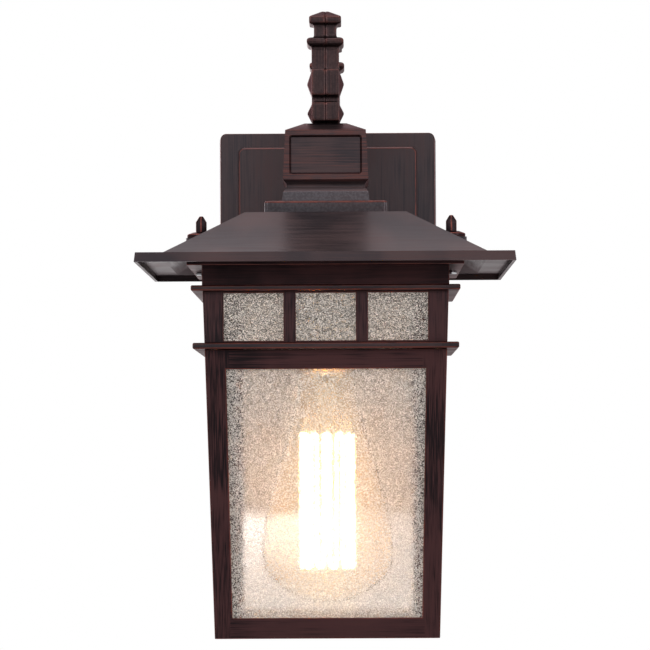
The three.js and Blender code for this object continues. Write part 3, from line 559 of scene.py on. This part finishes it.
def piece_from(name, vertices, faces, node, coat):
    """A new smooth piece from arrays of corners and faces, in place of a CAD node."""
    mesh = bpy.data.meshes.new(name)
    faces = [list(map(int, face)) for face in faces]
    mesh.from_pydata(np.asarray(vertices, float).tolist(), [], faces)
    mesh.validate()
    piece = linked(name, mesh)
    mesh.materials.append(material(coat))
    mesh.shade_smooth()
    mesh.set_sharp_from_angle(angle=HARD_EDGE)
    settle(piece, BODY_OF[node], [node])


def grid_faces(rows, columns, wrap_rows=False, wrap_columns=False, start=0):
    """Quads between neighbours of a rows by columns grid of corners."""
    down = np.arange(rows - (not wrap_rows))
    along = np.arange(columns - (not wrap_columns))
    i, j = np.meshgrid(down, along, indexing="ij")
    a = i * columns + j
    b = i * columns + (j + 1) % columns
    c = (i + 1) % rows * columns + (j + 1) % columns
    d = (i + 1) % rows * columns + j
    return np.stack([a, b, c, d], -1).reshape(-1, 4) + start


def softened(profile, radius, steps=3, closed=False):
    """A profile with each corner replaced by a short arc.

    A corner p between a and b becomes the quadratic curve from a point on pa to a point on pb, with
    p as its control point.
    """
    profile = [np.array(p, float) for p in profile]
    if closed:
        profile = [profile[-1], *profile, profile[0]]
    out = [] if closed else [profile[0]]
    t = np.linspace(0, 1, steps + 1)[:, None]
    for before, corner, after in zip(profile, profile[1:], profile[2:]):
        back, ahead = before - corner, after - corner
        reach = min(radius, 0.45 * np.linalg.norm(back), 0.45 * np.linalg.norm(ahead))
        start = corner + back / np.linalg.norm(back) * reach
        end = corner + ahead / np.linalg.norm(ahead) * reach
        out.extend((1 - t) ** 2 * start + 2 * t * (1 - t) * corner + t**2 * end)
    if not closed:
        out.append(profile[-1])
    return np.array(out)


def through(points, steps):
    """A smooth curve through the points.

    Between two points it is the cubic whose slope at each is half the step from the point before it
    to the point after it.
    """
    points = np.asarray(points, float)
    ends = np.vstack([2 * points[0] - points[1], points, 2 * points[-1] - points[-2]])
    t = np.linspace(0, 1, steps, endpoint=False)[None, :, None]
    p0, p1, p2, p3 = (ends[i : len(ends) - 3 + i][:, None, :] for i in range(4))
    curve = 2 * p1 + (p2 - p0) * t + (2 * p0 - 5 * p1 + 4 * p2 - p3) * t**2
    curve = 0.5 * (curve + (3 * p1 - p0 - 3 * p2 + p3) * t**3)
    return np.vstack([curve.reshape(-1, points.shape[1]), points[-1:]])


def turned(
    name, profile, node, slot, coat, segments=64, ripple=None, closed=True, centre=None
):
    """A profile of (radius, height) turned about an upright axis.

    The point at angle t and profile point p is (r cos t, r sin t, p.height), where r is p.radius
    less ripple(t, p.height, p.radius). The profile goes round anticlockwise: up on the outside. It
    closes on itself, or starts and ends on the axis, where it is closed by a fan.
    """
    profile = np.asarray(profile, float)
    centre = AXIS if centre is None else centre
    tip = [] if closed else [profile[0], profile[-1]]
    wall = profile if closed else profile[1:-1]
    angle = np.linspace(0.0, TURN, segments, endpoint=False)
    radius = np.broadcast_to(wall[:, 0][:, None], (len(wall), segments))
    height = np.broadcast_to(wall[:, 1][:, None], (len(wall), segments))
    if ripple:
        radius = radius - ripple(angle[None, :], height, radius)
    x = centre.x + radius * np.cos(angle)[None, :]
    y = centre.y + radius * np.sin(angle)[None, :]
    vertices = np.stack([x, y, height], -1).reshape(-1, 3)
    faces = grid_faces(len(wall), segments, wrap_rows=closed, wrap_columns=True).tolist()
    if tip:
        count = len(vertices)
        vertices = np.vstack([vertices, [[centre.x, centre.y, p[1]] for p in tip]])
        around = np.arange(segments)
        ahead = (around + 1) % segments
        last = count - segments
        faces += np.stack([ahead, around, np.full(segments, count)], -1).tolist()
        faces += np.stack([around + last, ahead + last, np.full(segments, count + 1)], -1).tolist()
    piece_from(name, vertices, faces, node, coat)


def tube(points, radius, sides):
    """Corners of a round tube along a path.

    The point at path place s and angle t is path(s) + radius * (cos t * a + sin t * b), where a and b
    are square to the path and turn with it as little as they can.
    """
    points = np.asarray(points, float)
    tangent = np.gradient(points, axis=0)
    tangent /= np.linalg.norm(tangent, axis=1)[:, None]
    first = np.cross(tangent[0], (0.0, 0.0, 1.0) if abs(tangent[0][2]) < 0.9 else (0.0, 1.0, 0.0))
    frames = [first / np.linalg.norm(first)]
    for direction in tangent[1:]:
        carried = frames[-1] - np.dot(frames[-1], direction) * direction
        frames.append(carried / np.linalg.norm(carried))
    a = np.array(frames)
    b = np.cross(tangent, a)
    angle = np.linspace(0, TURN, sides, endpoint=False)
    ring = np.cos(angle)[None, :, None] * a[:, None, :] + np.sin(angle)[None, :, None] * b[:, None, :]
    return (points[:, None, :] + radius * ring).reshape(-1, 3)


def tube_faces(count, sides, start=0):
    """Faces of a tube with closed ends."""
    faces = (grid_faces(count, sides, wrap_columns=True) + start).tolist()
    faces.append(list(range(start + sides - 1, start - 1, -1)))
    last = start + (count - 1) * sides
    faces.append(list(range(last, last + sides)))
    return faces


def rows_of(items, key, width, kind=np.float32):
    """One property of all the items, as an array with a row of width values for each."""
    values = np.empty(len(items) * width, kind)
    items.foreach_get(key, values)
    return values.reshape(-1, width)


def cast(node, coat, grain, soften):
    """A copy of a CAD node with the soft edges of a casting.

    The node is resurfaced with even squares of size grain and smoothed. How far each corner then
    stands out of the mean of its neighbours, as a share of grain, is smoothed over its neighbours.
    The attribute "ridge" rises with it from 0 to 1, between the shares ridge_starts and ridge_full.
    """
    ridge_starts, ridge_full = 0.03, 0.10
    source = NODES[node]
    mesh = source.data.copy()
    mesh.name = node + "_cast"
    mesh.materials.clear()
    piece = linked(node + "_cast", mesh)
    weld = piece.modifiers.new("weld", "WELD")
    weld.merge_threshold = WELD
    surface = piece.modifiers.new("surface", "REMESH")
    surface.mode = "VOXEL"
    surface.voxel_size = grain
    round_off = piece.modifiers.new("round_off", "SMOOTH")
    round_off.factor = 0.5
    round_off.iterations = soften
    graph = bpy.context.evaluated_depsgraph_get()
    shaped = bpy.data.meshes.new_from_object(piece.evaluated_get(graph))
    piece.modifiers.clear()
    piece.data = shaped
    shaped.materials.clear()
    shaped.materials.append(material(coat))
    shaped.shade_smooth()
    count = len(shaped.vertices)
    corners = rows_of(shaped.vertices, "co", 3)
    normals = rows_of(shaped.vertex_normals, "vector", 3)
    ends = rows_of(shaped.edges, "vertices", 2, np.int32)
    here, there = np.concatenate([ends, ends[:, ::-1]]).T
    degree = np.bincount(here, minlength=count)

    def mean_of_neighbours(values):
        sums = [np.bincount(here, weights=column[there], minlength=count) for column in values.T]
        return np.stack(sums, -1) / degree[:, None]

    out = ((corners - mean_of_neighbours(corners)) * normals).sum(1, keepdims=True) / grain
    for _ in range(2):
        out = 0.5 * out + 0.5 * mean_of_neighbours(out)
    share = np.clip((out[:, 0] - ridge_starts) / (ridge_full - ridge_starts), 0, 1)
    ridge = shaped.attributes.new("ridge", "FLOAT", "POINT")
    ridge.data.foreach_set("value", share.astype(np.float32))
    settle(piece, BODY_OF[node], [node])


def stands_out(line, angle):
    """Whether an edge is an outer corner sharper than angle."""
    return line.is_manifold and line.is_convex and line.calc_face_angle() > angle


def copied(node, coats, edge, angle=28.0, smooth=0):
    """A merged copy of a CAD node whose outer edges are rounded and rubbed.

    Edges that stand out by more than angle, in degrees, get a round as wide as edge in the last of
    the coats. Inner corners stay sharp. A wire is subdivided smooth times instead.
    """
    shape = bmesh.new()
    shape.from_mesh(NODES[node].data)
    bmesh.ops.remove_doubles(shape, verts=shape.verts, dist=WELD)
    flat = math.radians(0.3)
    bmesh.ops.dissolve_limit(shape, angle_limit=flat, verts=shape.verts, edges=shape.edges)
    for face in shape.faces:
        face.material_index = 0
        face.smooth = True
    if not smooth:
        bmesh.ops.bevel(
            shape,
            geom=[line for line in shape.edges if stands_out(line, math.radians(angle))],
            offset=edge,
            segments=2,
            profile=0.5,
            affect="EDGES",
            clamp_overlap=True,
            material=len(coats) - 1,
        )
        for line in shape.edges:
            line.smooth = line.calc_face_angle(0.0) < HARD_EDGE
    mesh = bpy.data.meshes.new(node + "_finished")
    shape.to_mesh(mesh)
    shape.free()
    piece = linked(node + "_finished", mesh)
    for coat in coats:
        mesh.materials.append(material(coat))
    if smooth:
        rounder = piece.modifiers.new("rounder_wire", "SUBSURF")
        rounder.levels = smooth
        rounder.render_levels = smooth
    else:
        level = piece.modifiers.new("level_faces", "WEIGHTED_NORMAL")
        level.weight = 100
        level.keep_sharp = True
    settle(piece, BODY_OF[node], [node])


def furrow(angle, height, depth):
    """How deep a screw thread is cut: half of depth, less half its cosine of height over pitch, in
    turns, less the angle. The furrow climbs once round in a pitch."""
    return depth * 0.5 * (1 - np.cos(TURN * height / sizes().thread_pitch - angle))


# ---------------- operators


class StageOperator(bpy.types.Operator):
    """Sets the camera, the pale floor and the soft studio light"""

    bl_idname = "lantern.stage"
    bl_label = "Stage"

    def execute(self, context):
        scene = context.scene
        camera = bpy.data.cameras.new("camera")
        camera.lens = 194.15
        camera.sensor_width = 36.0
        camera.clip_end = 50.0
        eye = linked("camera", camera)
        eye.location = (0.0130, -1.849, -0.0745)
        eye.rotation_mode = "XYZ"
        eye.rotation_euler = (math.radians(92.289), math.radians(0.288), math.radians(0.474))
        scene.camera = eye
        scene.view_settings.view_transform = "Standard"
        self.floor()
        self.lights()
        self.world(scene)
        return {"FINISHED"}

    def floor(self):
        """A pale square far below the lantern."""
        half, level = 8.0, -2.2
        mesh = bpy.data.meshes.new("floor")
        around = ((-half, -half), (half, -half), (half, half), (-half, half))
        mesh.from_pydata([(x, y, level) for x, y in around], [], [(0, 1, 2, 3)])
        floor = linked("floor", mesh)
        pale = bpy.data.materials.new("pale_floor")
        bench = Bench(pale)
        spots = bench.noise(bench.place(), 6.0, 2.0)
        base = bench.mix(spots, (0.80, 0.80, 0.79), (0.84, 0.84, 0.83))
        bench.surface(principled(bench, Base_Color=base, Roughness=0.7))
        mesh.materials.append(pale)
        floor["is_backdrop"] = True

    def lights(self):
        """Soft boxes round the lantern, all aimed at one point near its axis."""
        aim = Vector((0.0, -0.13, 0.0))
        # name, place, width, height, power
        boxes = (
            ("key", (-1.3, -1.6, 0.9), 1.1, 1.1, 13.0),
            ("fill", (1.5, -1.5, 0.35), 1.0, 1.4, 10.0),
            ("front", (0.0, -2.2, 0.7), 1.6, 0.6, 4.0),
            ("top", (0.0, -0.3, 1.7), 1.4, 1.4, 12.0),
            ("back", (-0.6, 1.6, 0.5), 1.4, 1.4, 10.0),
        )
        for name, place, width, height, power in boxes:
            light = bpy.data.lights.new(name, "AREA")
            light.shape = "RECTANGLE"
            light.size = width
            light.size_y = height
            light.energy = power
            lamp = linked(name, light)
            lamp.location = place
            lamp.rotation_euler = (aim - Vector(place)).to_track_quat("-Z", "Y").to_euler()

    def world(self, scene):
        """White to look at, but greyer in front and below to what it lights and is mirrored in."""
        world = bpy.data.worlds.new("studio")
        scene.world = world
        bench = Bench(world)
        place = bench.node("ShaderNodeTexCoord", {}, {}, "Generated")
        x, y, z = bench.axes(place)
        level = bench.step(y, -0.9, 0.5, 0.34, 0.95) * bench.step(z, -0.6, 0.35, 0.50, 1.0)
        glossy = bench.node("ShaderNodeLightPath", {}, {}, "Is Glossy Ray")
        diffuse = Field(bench, glossy.socket.node.outputs["Is Diffuse Ray"])
        studio = glossy.most(diffuse)
        strength = 1.0 + studio * (level - 1.0)
        sockets = {"Color": (1.0, 1.0, 1.0, 1.0), "Strength": strength}
        shade = bench.node("ShaderNodeBackground", {}, sockets)
        end = bench.tree.nodes.new("ShaderNodeOutputWorld")
        bench.tree.links.new(shade.socket, end.inputs["Surface"])


class RoofOperator(bpy.types.Operator):
    """Finishes the roof, its crown plate and the finial nuts on it"""

    bl_idname = "lantern.roof"
    bl_label = "Roof"

    def execute(self, context):
        edge = sizes().edge
        copied("roof", ["bronze_slope", "bronze_edge"], edge)
        copied("crown_plate", ["bronze_slate", "bronze_edge"], edge)
        for side in SIDES:
            copied("finial_nut_" + side, ["bronze_level", "bronze_edge"], 0.35 * MM, angle=40.0)
        return {"FINISHED"}


class ArmOperator(bpy.types.Operator):
    """Finishes the neck block and the two halves of the cast arm"""

    bl_idname = "lantern.arm"
    bl_label = "Arm"

    def execute(self, context):
        copied("neck_block", ["bronze_block", "bronze_edge"], sizes().edge)
        for side in SIDES:
            cast(f"arm_{side}_half", "bronze_cast", sizes().cast_grain, sizes().cast_passes)
        return {"FINISHED"}


class CageOperator(bpy.types.Operator):
    """Finishes the cage's head, ledges, frames and glass retainers"""

    bl_idname = "lantern.cage"
    bl_label = "Cage"

    def execute(self, context):
        coats = {
            "cage_head": "bronze_band",
            "upper_ledge": "bronze_ledge",
            "window_frame": "bronze_window",
            "lower_ledge": "bronze_ledge",
            "body_frame": "bronze_frame",
        }
        for node, coat in coats.items():
            copied(node, [coat, "bronze_edge"], sizes().edge)
        for node in [n for n in NODES if n.startswith("glass_retainer")]:
            copied(node, ["bronze_inside", "bronze_edge"], 0.2 * MM)
        return {"FINISHED"}


class WallPlateOperator(bpy.types.Operator):
    """Finishes the wall plate, its cap nuts, gasket and crossbar"""

    bl_idname = "lantern.wall_plate"
    bl_label = "Wall plate"

    def execute(self, context):
        copied("wall_plate", ["bronze_upright", "bronze_edge"], sizes().edge)
        for side in SIDES:
            copied("plate_nut_" + side, ["bronze_level", "bronze_edge"], 0.3 * MM, angle=40.0)
        copied("wall_gasket", ["black_foam"], 0.3 * MM)
        copied("crossbar", ["zinc_steel"], 0.3 * MM)
        return {"FINISHED"}


class GlassOperator(bpy.types.Operator):
    """Makes the panes of seeded glass with their relief"""

    bl_idname = "lantern.glass"
    bl_label = "Seeded glass"

    def execute(self, context):
        for order, node in enumerate(sorted(n for n in NODES if "_glass_" in n)):
            self.pane(node, order)
        return {"FINISHED"}

    def corners(self, node):
        """The pane's eight corners as [near or far side of the glass, foot or head, left or right]."""
        quarter = QUARTERS[node.rsplit("_", 1)[1]]
        turn = Matrix.Rotation(-quarter * math.pi / 2, 3, "Z")
        places = {tuple(round(c, 6) for c in v.co) for v in NODES[node].data.vertices}
        local = np.array([turn @ (Vector(p) - AXIS) for p in places])
        middle = (local[:, 2].min() + local[:, 2].max()) / 2
        out = np.zeros((2, 2, 2, 3))
        for head in (0, 1):
            level = local[(local[:, 2] > middle) == bool(head)]
            for right in (0, 1):
                pair = level[(level[:, 0] > 0) == bool(right)]
                pair = pair[np.argsort(pair[:, 1])]
                out[0, head, right], out[1, head, right] = pair[0], pair[-1]
        back = np.array(turn.transposed())
        return out @ back.T + np.array(AXIS)

    def relief(self, rows, columns, seed):
        """Smoothed random heights from 0 to 1: white noise passed through two rings of wavelengths."""
        rng = np.random.default_rng(seed)
        spectrum = np.fft.fft2(rng.standard_normal((rows, columns)))
        across = np.fft.fftfreq(rows)[:, None]
        along = np.fft.fftfreq(columns)[None, :]
        wave = np.hypot(across, along)
        keep = np.exp(-(((wave - 0.36) / 0.12) ** 2)) + 2.0 * np.exp(-(((wave - 0.05) / 0.03) ** 2))
        height = np.real(np.fft.ifft2(spectrum * keep))
        height = (height - height.mean()) / height.std()
        return np.clip(0.5 + height / 5.0, 0.0, 1.0)

    def pane(self, node, order):
        """A slab: each face is the blend of its four corners, sunk along the face by the relief."""
        corner = self.corners(node)
        width = np.linalg.norm(corner[0, 0, 1] - corner[0, 0, 0])
        height = np.linalg.norm(corner[0, 1, 0] - corner[0, 0, 0])
        columns = max(8, int(width / sizes().relief_step))
        rows = max(8, int(height / sizes().relief_step))
        u = np.linspace(0, 1, columns)[None, :, None]
        v = np.linspace(0, 1, rows)[:, None, None]
        across = corner[1, 0, 0] - corner[0, 0, 0]
        across = across / np.linalg.norm(across)
        sheets = []
        for side, inward in ((0, across), (1, -across)):
            c = corner[side]
            flat = (1 - v) * ((1 - u) * c[0, 0] + u * c[0, 1]) + v * ((1 - u) * c[1, 0] + u * c[1, 1])
            seed = 40 + 2 * order + side
            depth = self.relief(rows, columns, seed)[:, :, None] * sizes().relief
            sheets.append((flat + inward * depth).reshape(-1, 3))
        count = rows * columns
        index = np.arange(count).reshape(rows, columns)
        loop = np.concatenate([index[0, :-1], index[:-1, -1], index[-1, :0:-1], index[:0:-1, 0]])
        ahead = np.roll(loop, -1)
        faces = [
            grid_faces(rows, columns),
            grid_faces(rows, columns, start=count)[:, ::-1],
            np.stack([ahead, loop, loop + count, ahead + count], -1),
        ]
        name = node.replace("_glass_", "_pane_")
        coat = "window_glass" if node.startswith("upper") else "seeded_glass"
        vertices, faces = np.concatenate(sheets), np.concatenate(faces)
        piece_from(name, vertices, faces, node, coat)


class LampOperator(bpy.types.Operator):
    """Makes the lamp: its glass, screw base, stem, supports and lit filament"""

    bl_idname = "lantern.lamp"
    bl_label = "Lamp"

    def execute(self, context):
        self.envelope()
        self.base()
        self.stem()
        self.filament()
        copied("bulb_insulator", ["black_vitrite"], 0.3 * MM)
        copied("bulb_contact", ["zinc_steel"], 0.3 * MM)
        return {"FINISHED"}

    def envelope(self):
        """The glass: the frame's outline drawn smooth, outside and inside, and turned."""
        places = np.array([v.co for v in NODES["bulb_glass"].data.vertices])
        radius = np.hypot(places[:, 0] - AXIS.x, places[:, 1] - AXIS.y)
        order = np.lexsort((-radius, np.round(places[:, 2], 5)))
        heights, first = np.unique(np.round(places[order, 2], 5), return_index=True)
        outline = np.stack([radius[order][first], heights], -1)
        widest = np.maximum.accumulate
        peak = np.argmax(outline[:, 0])
        top_down = outline[::-1]
        low = outline[: peak + 1]
        low = low[low[:, 0] >= widest(low[:, 0]) - 1e-9]
        high = top_down[: len(outline) - peak]
        high = high[high[:, 0] >= widest(high[:, 0]) - 1e-9][::-1]
        outer = through(np.vstack([low, high[1:]]), 6)
        outer[:, 0] = np.clip(outer[:, 0], 0.0, outline[:, 0].max())
        slope = np.gradient(outer, axis=0)
        across = np.stack([-slope[:, 1], slope[:, 0]], -1) / np.linalg.norm(slope, axis=1)[:, None]
        inner = outer + across * sizes().lamp_wall
        inner[:, 0] = np.maximum(inner[:, 0], 0.0)
        inner[0] = (0.0, outer[0, 1] + sizes().lamp_wall)
        inner[-1, 1] = outer[-1, 1]
        wall = np.vstack([outer, inner[::-1]])
        turned("lamp_envelope", wall, "bulb_glass", "lamp_glass", "lamp_glass", 72, closed=False)

    def base(self):
        """The screw base: a cylinder less the thread's furrow, which fades out at both ends."""
        radius, low, high = spread("bulb_base")
        depth = sizes().thread_depth
        heights = np.linspace(low + 2 * MM, high - 3 * MM, 64)
        wall = np.stack([np.full(64, radius), heights], -1)
        profile = np.vstack([[[0, low], [radius - 1 * MM, low], [radius, low + 0.6 * MM]], wall])
        profile = np.vstack([profile, [[radius - 2 * MM, high], [0, high]]])

        def thread(angle, height, _radius):
            rise = np.clip((height - low - 1.5 * MM) / MM, 0, 1)
            fall = np.clip((high - 2.5 * MM - height) / MM, 0, 1)
            return furrow(angle, height, depth * (rise * fall))

        name = "lamp_screw_base"
        turned(name, profile, "bulb_base", "brass", "dull_brass", ripple=thread, closed=False)

    def stem(self):
        """The glass stem: a flared foot, a rod down to the middle of the cage, and a button."""
        half, low, high = spread("bulb_stem")
        bottom = spread("bulb_filament")[1]
        rod = 1.4 * MM
        profile = [
            (0.0, bottom + 5 * MM),
            (2.2 * MM, bottom + 6 * MM),
            (2.2 * MM, bottom + 8 * MM),
            (rod, bottom + 10 * MM),
            (rod, low + 6 * MM),
            (3.2 * MM, low + 12 * MM),
            (half * 0.8, high - 5 * MM),
            (half, high - 1 * MM),
            (half, high),
            (0.0, high),
        ]
        profile = softened(profile, 1.5 * MM)
        turned("lamp_stem", profile, "bulb_stem", "lamp_glass", "stem_glass", 32, closed=False)

    def filament(self):
        """Hairpins round a cylinder, and the wires that hold their bends.

        Along leg k the height is the middle plus or less half the length times cos(pi f), and the
        angle steps to the next leg in the first and last eighth of f, so that each bend is round.
        """
        reach, bottom, top = spread("bulb_filament")
        thick = sizes().filament / 2
        radius, half, middle = reach - thick, (top - bottom) / 2 - thick, (top + bottom) / 2
        legs = 2 * sizes().hairpins
        f = np.linspace(0, 1, 48, endpoint=False)[None, :]
        leg = np.arange(legs)[:, None]
        bend = 0.5 * (np.clip((f - 0.87) / 0.13, 0, 1) ** 2 - np.clip((0.13 - f) / 0.13, 0, 1) ** 2)
        angle = ((leg + bend + 0.75) / (legs + 0.5) * TURN).ravel()
        height = (middle + half * np.cos(math.pi * f) * (1 - 2 * (leg % 2))).ravel()
        x = AXIS.x + radius * np.cos(angle)
        y = AXIS.y + radius * np.sin(angle)
        path = np.stack([x, y, height], -1)[3:-3]
        wire, faces = tube(path, thick, 8), tube_faces(len(path), 8)
        piece_from("lamp_filament", wire, faces, "bulb_filament", "glowing_wire")
        self.supports(radius, middle, half, legs)

    def supports(self, radius, middle, half, legs):
        """Fine wires from the stem to each bend: straight, rising or falling a little to the bend."""
        places, sides = 5, 5
        vertices, faces = [], []
        for leg in range(legs - 1):
            angle = (leg + 1.25) / (legs + 0.5) * TURN
            sign = -1 if leg % 2 == 0 else 1
            end = middle + sign * (half - 1.2 * MM)
            start = middle + sign * (half - 6 * MM)
            t = np.linspace(0, 1, places)
            reach = 1.6 * MM + (radius - 1.9 * MM) * t
            run = np.stack([AXIS.x + reach * math.cos(angle), AXIS.y + reach * math.sin(angle)], -1)
            path = np.column_stack([run, start + (end - start) * t**2])
            faces += tube_faces(places, sides, start=len(vertices) * places * sides)
            vertices.append(tube(path, 0.16 * MM, sides))
        mesh = bpy.data.meshes.new("lamp_supports")
        mesh.from_pydata(np.concatenate(vertices).tolist(), [], faces)
        mesh.materials.append(material("zinc_steel"))
        mesh.shade_smooth()
        settle(linked("lamp_supports", mesh), "lamp")


class HolderOperator(bpy.types.Operator):
    """Makes the porcelain lampholder with its threaded shell, cap and nipple"""

    bl_idname = "lantern.holder"
    bl_label = "Lampholder"

    def execute(self, context):
        self.porcelain()
        self.shell()
        self.cap()
        for node in ("nipple_nut", "nipple_washer", "nipple"):
            copied(node, ["zinc_steel"], 0.25 * MM)
        copied("holder_contact", ["dull_brass"], 0.15 * MM)
        return {"FINISHED"}

    def porcelain(self):
        """The body: a shouldered cylinder round a cavity for the shell and a bore for the nipple."""
        outer, low, high = spread("holder_body")
        shell = spread("holder_screw_shell")[0]
        cavity, bore, neck = shell + 0.4 * MM, 3.5 * MM, outer * 0.8
        room = low + 30 * MM
        profile = [
            (cavity, low),
            (outer, low),
            (outer, low + 22 * MM),
            (neck, low + 27 * MM),
            (neck, high),
            (bore, high),
            (bore, room),
            (cavity, room),
        ]
        profile = softened(profile, 1.2 * MM, closed=True)
        turned("holder_porcelain", profile, "holder_body", "porcelain", "glazed_porcelain", 72)

    def shell(self):
        """A thin shell with the lamp's own thread pressed into it, as on the screw base."""
        radius, low, high = spread("holder_screw_shell")
        depth = 0.5 * sizes().thread_depth
        heights = np.linspace(low, high, 60)
        outer = np.stack([np.full(60, radius), heights], -1)
        inner = np.stack([np.full(60, radius - 0.45 * MM), heights[::-1]], -1)

        def thread(angle, height, _radius):
            return furrow(angle, height, depth)

        wall = np.vstack([outer, inner])
        turned("holder_thread", wall, "holder_screw_shell", "brass", "dull_brass", ripple=thread)

    def cap(self):
        """The cap: a low shouldered dome with the nipple's bore."""
        radius, low, high = spread("holder_cap")
        bore = spread("nipple")[0] + 0.1 * MM
        rise = high - low
        profile = [
            (bore, low),
            (radius, low),
            (radius, low + 0.4 * rise),
            (0.8 * radius, low + 0.75 * rise),
            (bore + 3 * MM, high),
            (bore, high),
        ]
        profile = softened(profile, 0.8 * MM, closed=True)
        turned("holder_brass_cap", profile, "holder_cap", "brass", "dull_brass")


class WiringOperator(bpy.types.Operator):
    """Makes the leads smooth and gives the wire nuts their ribs"""

    bl_idname = "lantern.wiring"
    bl_label = "Wiring"

    def execute(self, context):
        leads = {
            "lead_black": ("black_insulation", "black_wire"),
            "lead_white": ("white_insulation", "white_wire"),
            "lead_earth": ("bare_copper", "copper"),
        }
        for node, (coat, slot) in leads.items():
            copied(node, [coat], 0.0, smooth=1)
        for colour_word in ("black", "white", "earth"):
            self.wire_nut("wire_nut_" + colour_word)
        return {"FINISHED"}

    def wire_nut(self, node):
        """A tapered cap whose radius is cut back by ten round grooves between its ribs."""
        radius, low, high = spread(node)
        tall = high - low
        profile = [
            (0.0, low + 0.25 * tall),
            (0.6 * radius, low + 0.25 * tall),
            (0.72 * radius, low),
            (radius, low),
            (radius, low + 0.12 * tall),
            (0.93 * radius, low + 0.2 * tall),
            (0.78 * radius, high - 0.08 * tall),
            (0.5 * radius, high),
            (0.0, high),
        ]
        profile = softened(profile, 0.5 * MM)

        def ribs(angle, height, reach):
            on_side = np.clip((height - low - 0.16 * tall) / (0.1 * tall), 0, 1)
            on_side = on_side * (reach > 0.7 * radius)
            return on_side * 0.09 * radius * np.cos(5 * angle) ** 2

        shape = {"segments": 60, "ripple": ribs, "closed": False, "centre": centre_of(node)}
        turned(node + "_ribbed", profile, node, "nut_plastic", "orange_nylon", **shape)


class FixingsOperator(bpy.types.Operator):
    """Finishes the studs and screws"""

    bl_idname = "lantern.fixings"
    bl_label = "Fixings"

    def execute(self, context):
        for side in SIDES:
            for node in ("plate_stud_", "arm_screw_", "cage_stud_"):
                copied(node + side, ["zinc_steel"], 0.25 * MM, angle=40.0)
        copied("ground_screw", ["green_dyed_steel"], 0.3 * MM, angle=40.0)
        return {"FINISHED"}


class LanternPanel(bpy.types.Panel):
    """Lists the lantern's operators"""

    bl_idname = "VIEW3D_PT_lantern"
    bl_label = "Lantern"
    bl_space_type = "VIEW_3D"
    bl_region_type = "UI"
    bl_category = "Lantern"

    def draw(self, context):
        for each in OPERATORS:
            self.layout.operator(each.bl_idname)


OPERATORS = (
    StageOperator,
    RoofOperator,
    ArmOperator,
    CageOperator,
    WallPlateOperator,
    GlassOperator,
    LampOperator,
    HolderOperator,
    WiringOperator,
    FixingsOperator,
)
CLASSES = (LanternFinish, LanternSizes, *OPERATORS, LanternPanel)


def register():
    for each in CLASSES:
        bpy.utils.register_class(each)
    bpy.types.Scene.lantern_finish = PointerProperty(type=LanternFinish)
    bpy.types.Scene.lantern_sizes = PointerProperty(type=LanternSizes)


def unregister():
    del bpy.types.Scene.lantern_sizes
    del bpy.types.Scene.lantern_finish
    for each in reversed(CLASSES):
        bpy.utils.unregister_class(each)


def main():
    register()
    bpy.ops.lantern.stage()
    bpy.ops.lantern.roof()
    bpy.ops.lantern.arm()
    bpy.ops.lantern.cage()
    bpy.ops.lantern.wall_plate()
    bpy.ops.lantern.glass()
    bpy.ops.lantern.lamp()
    bpy.ops.lantern.holder()
    bpy.ops.lantern.wiring()
    bpy.ops.lantern.fixings()
    boxes = {"cad": CAD_BOX, "visual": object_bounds()}
    boxes = {name: [list(corner) for corner in box] for name, box in boxes.items()}


if __name__ == "__main__":
    main()
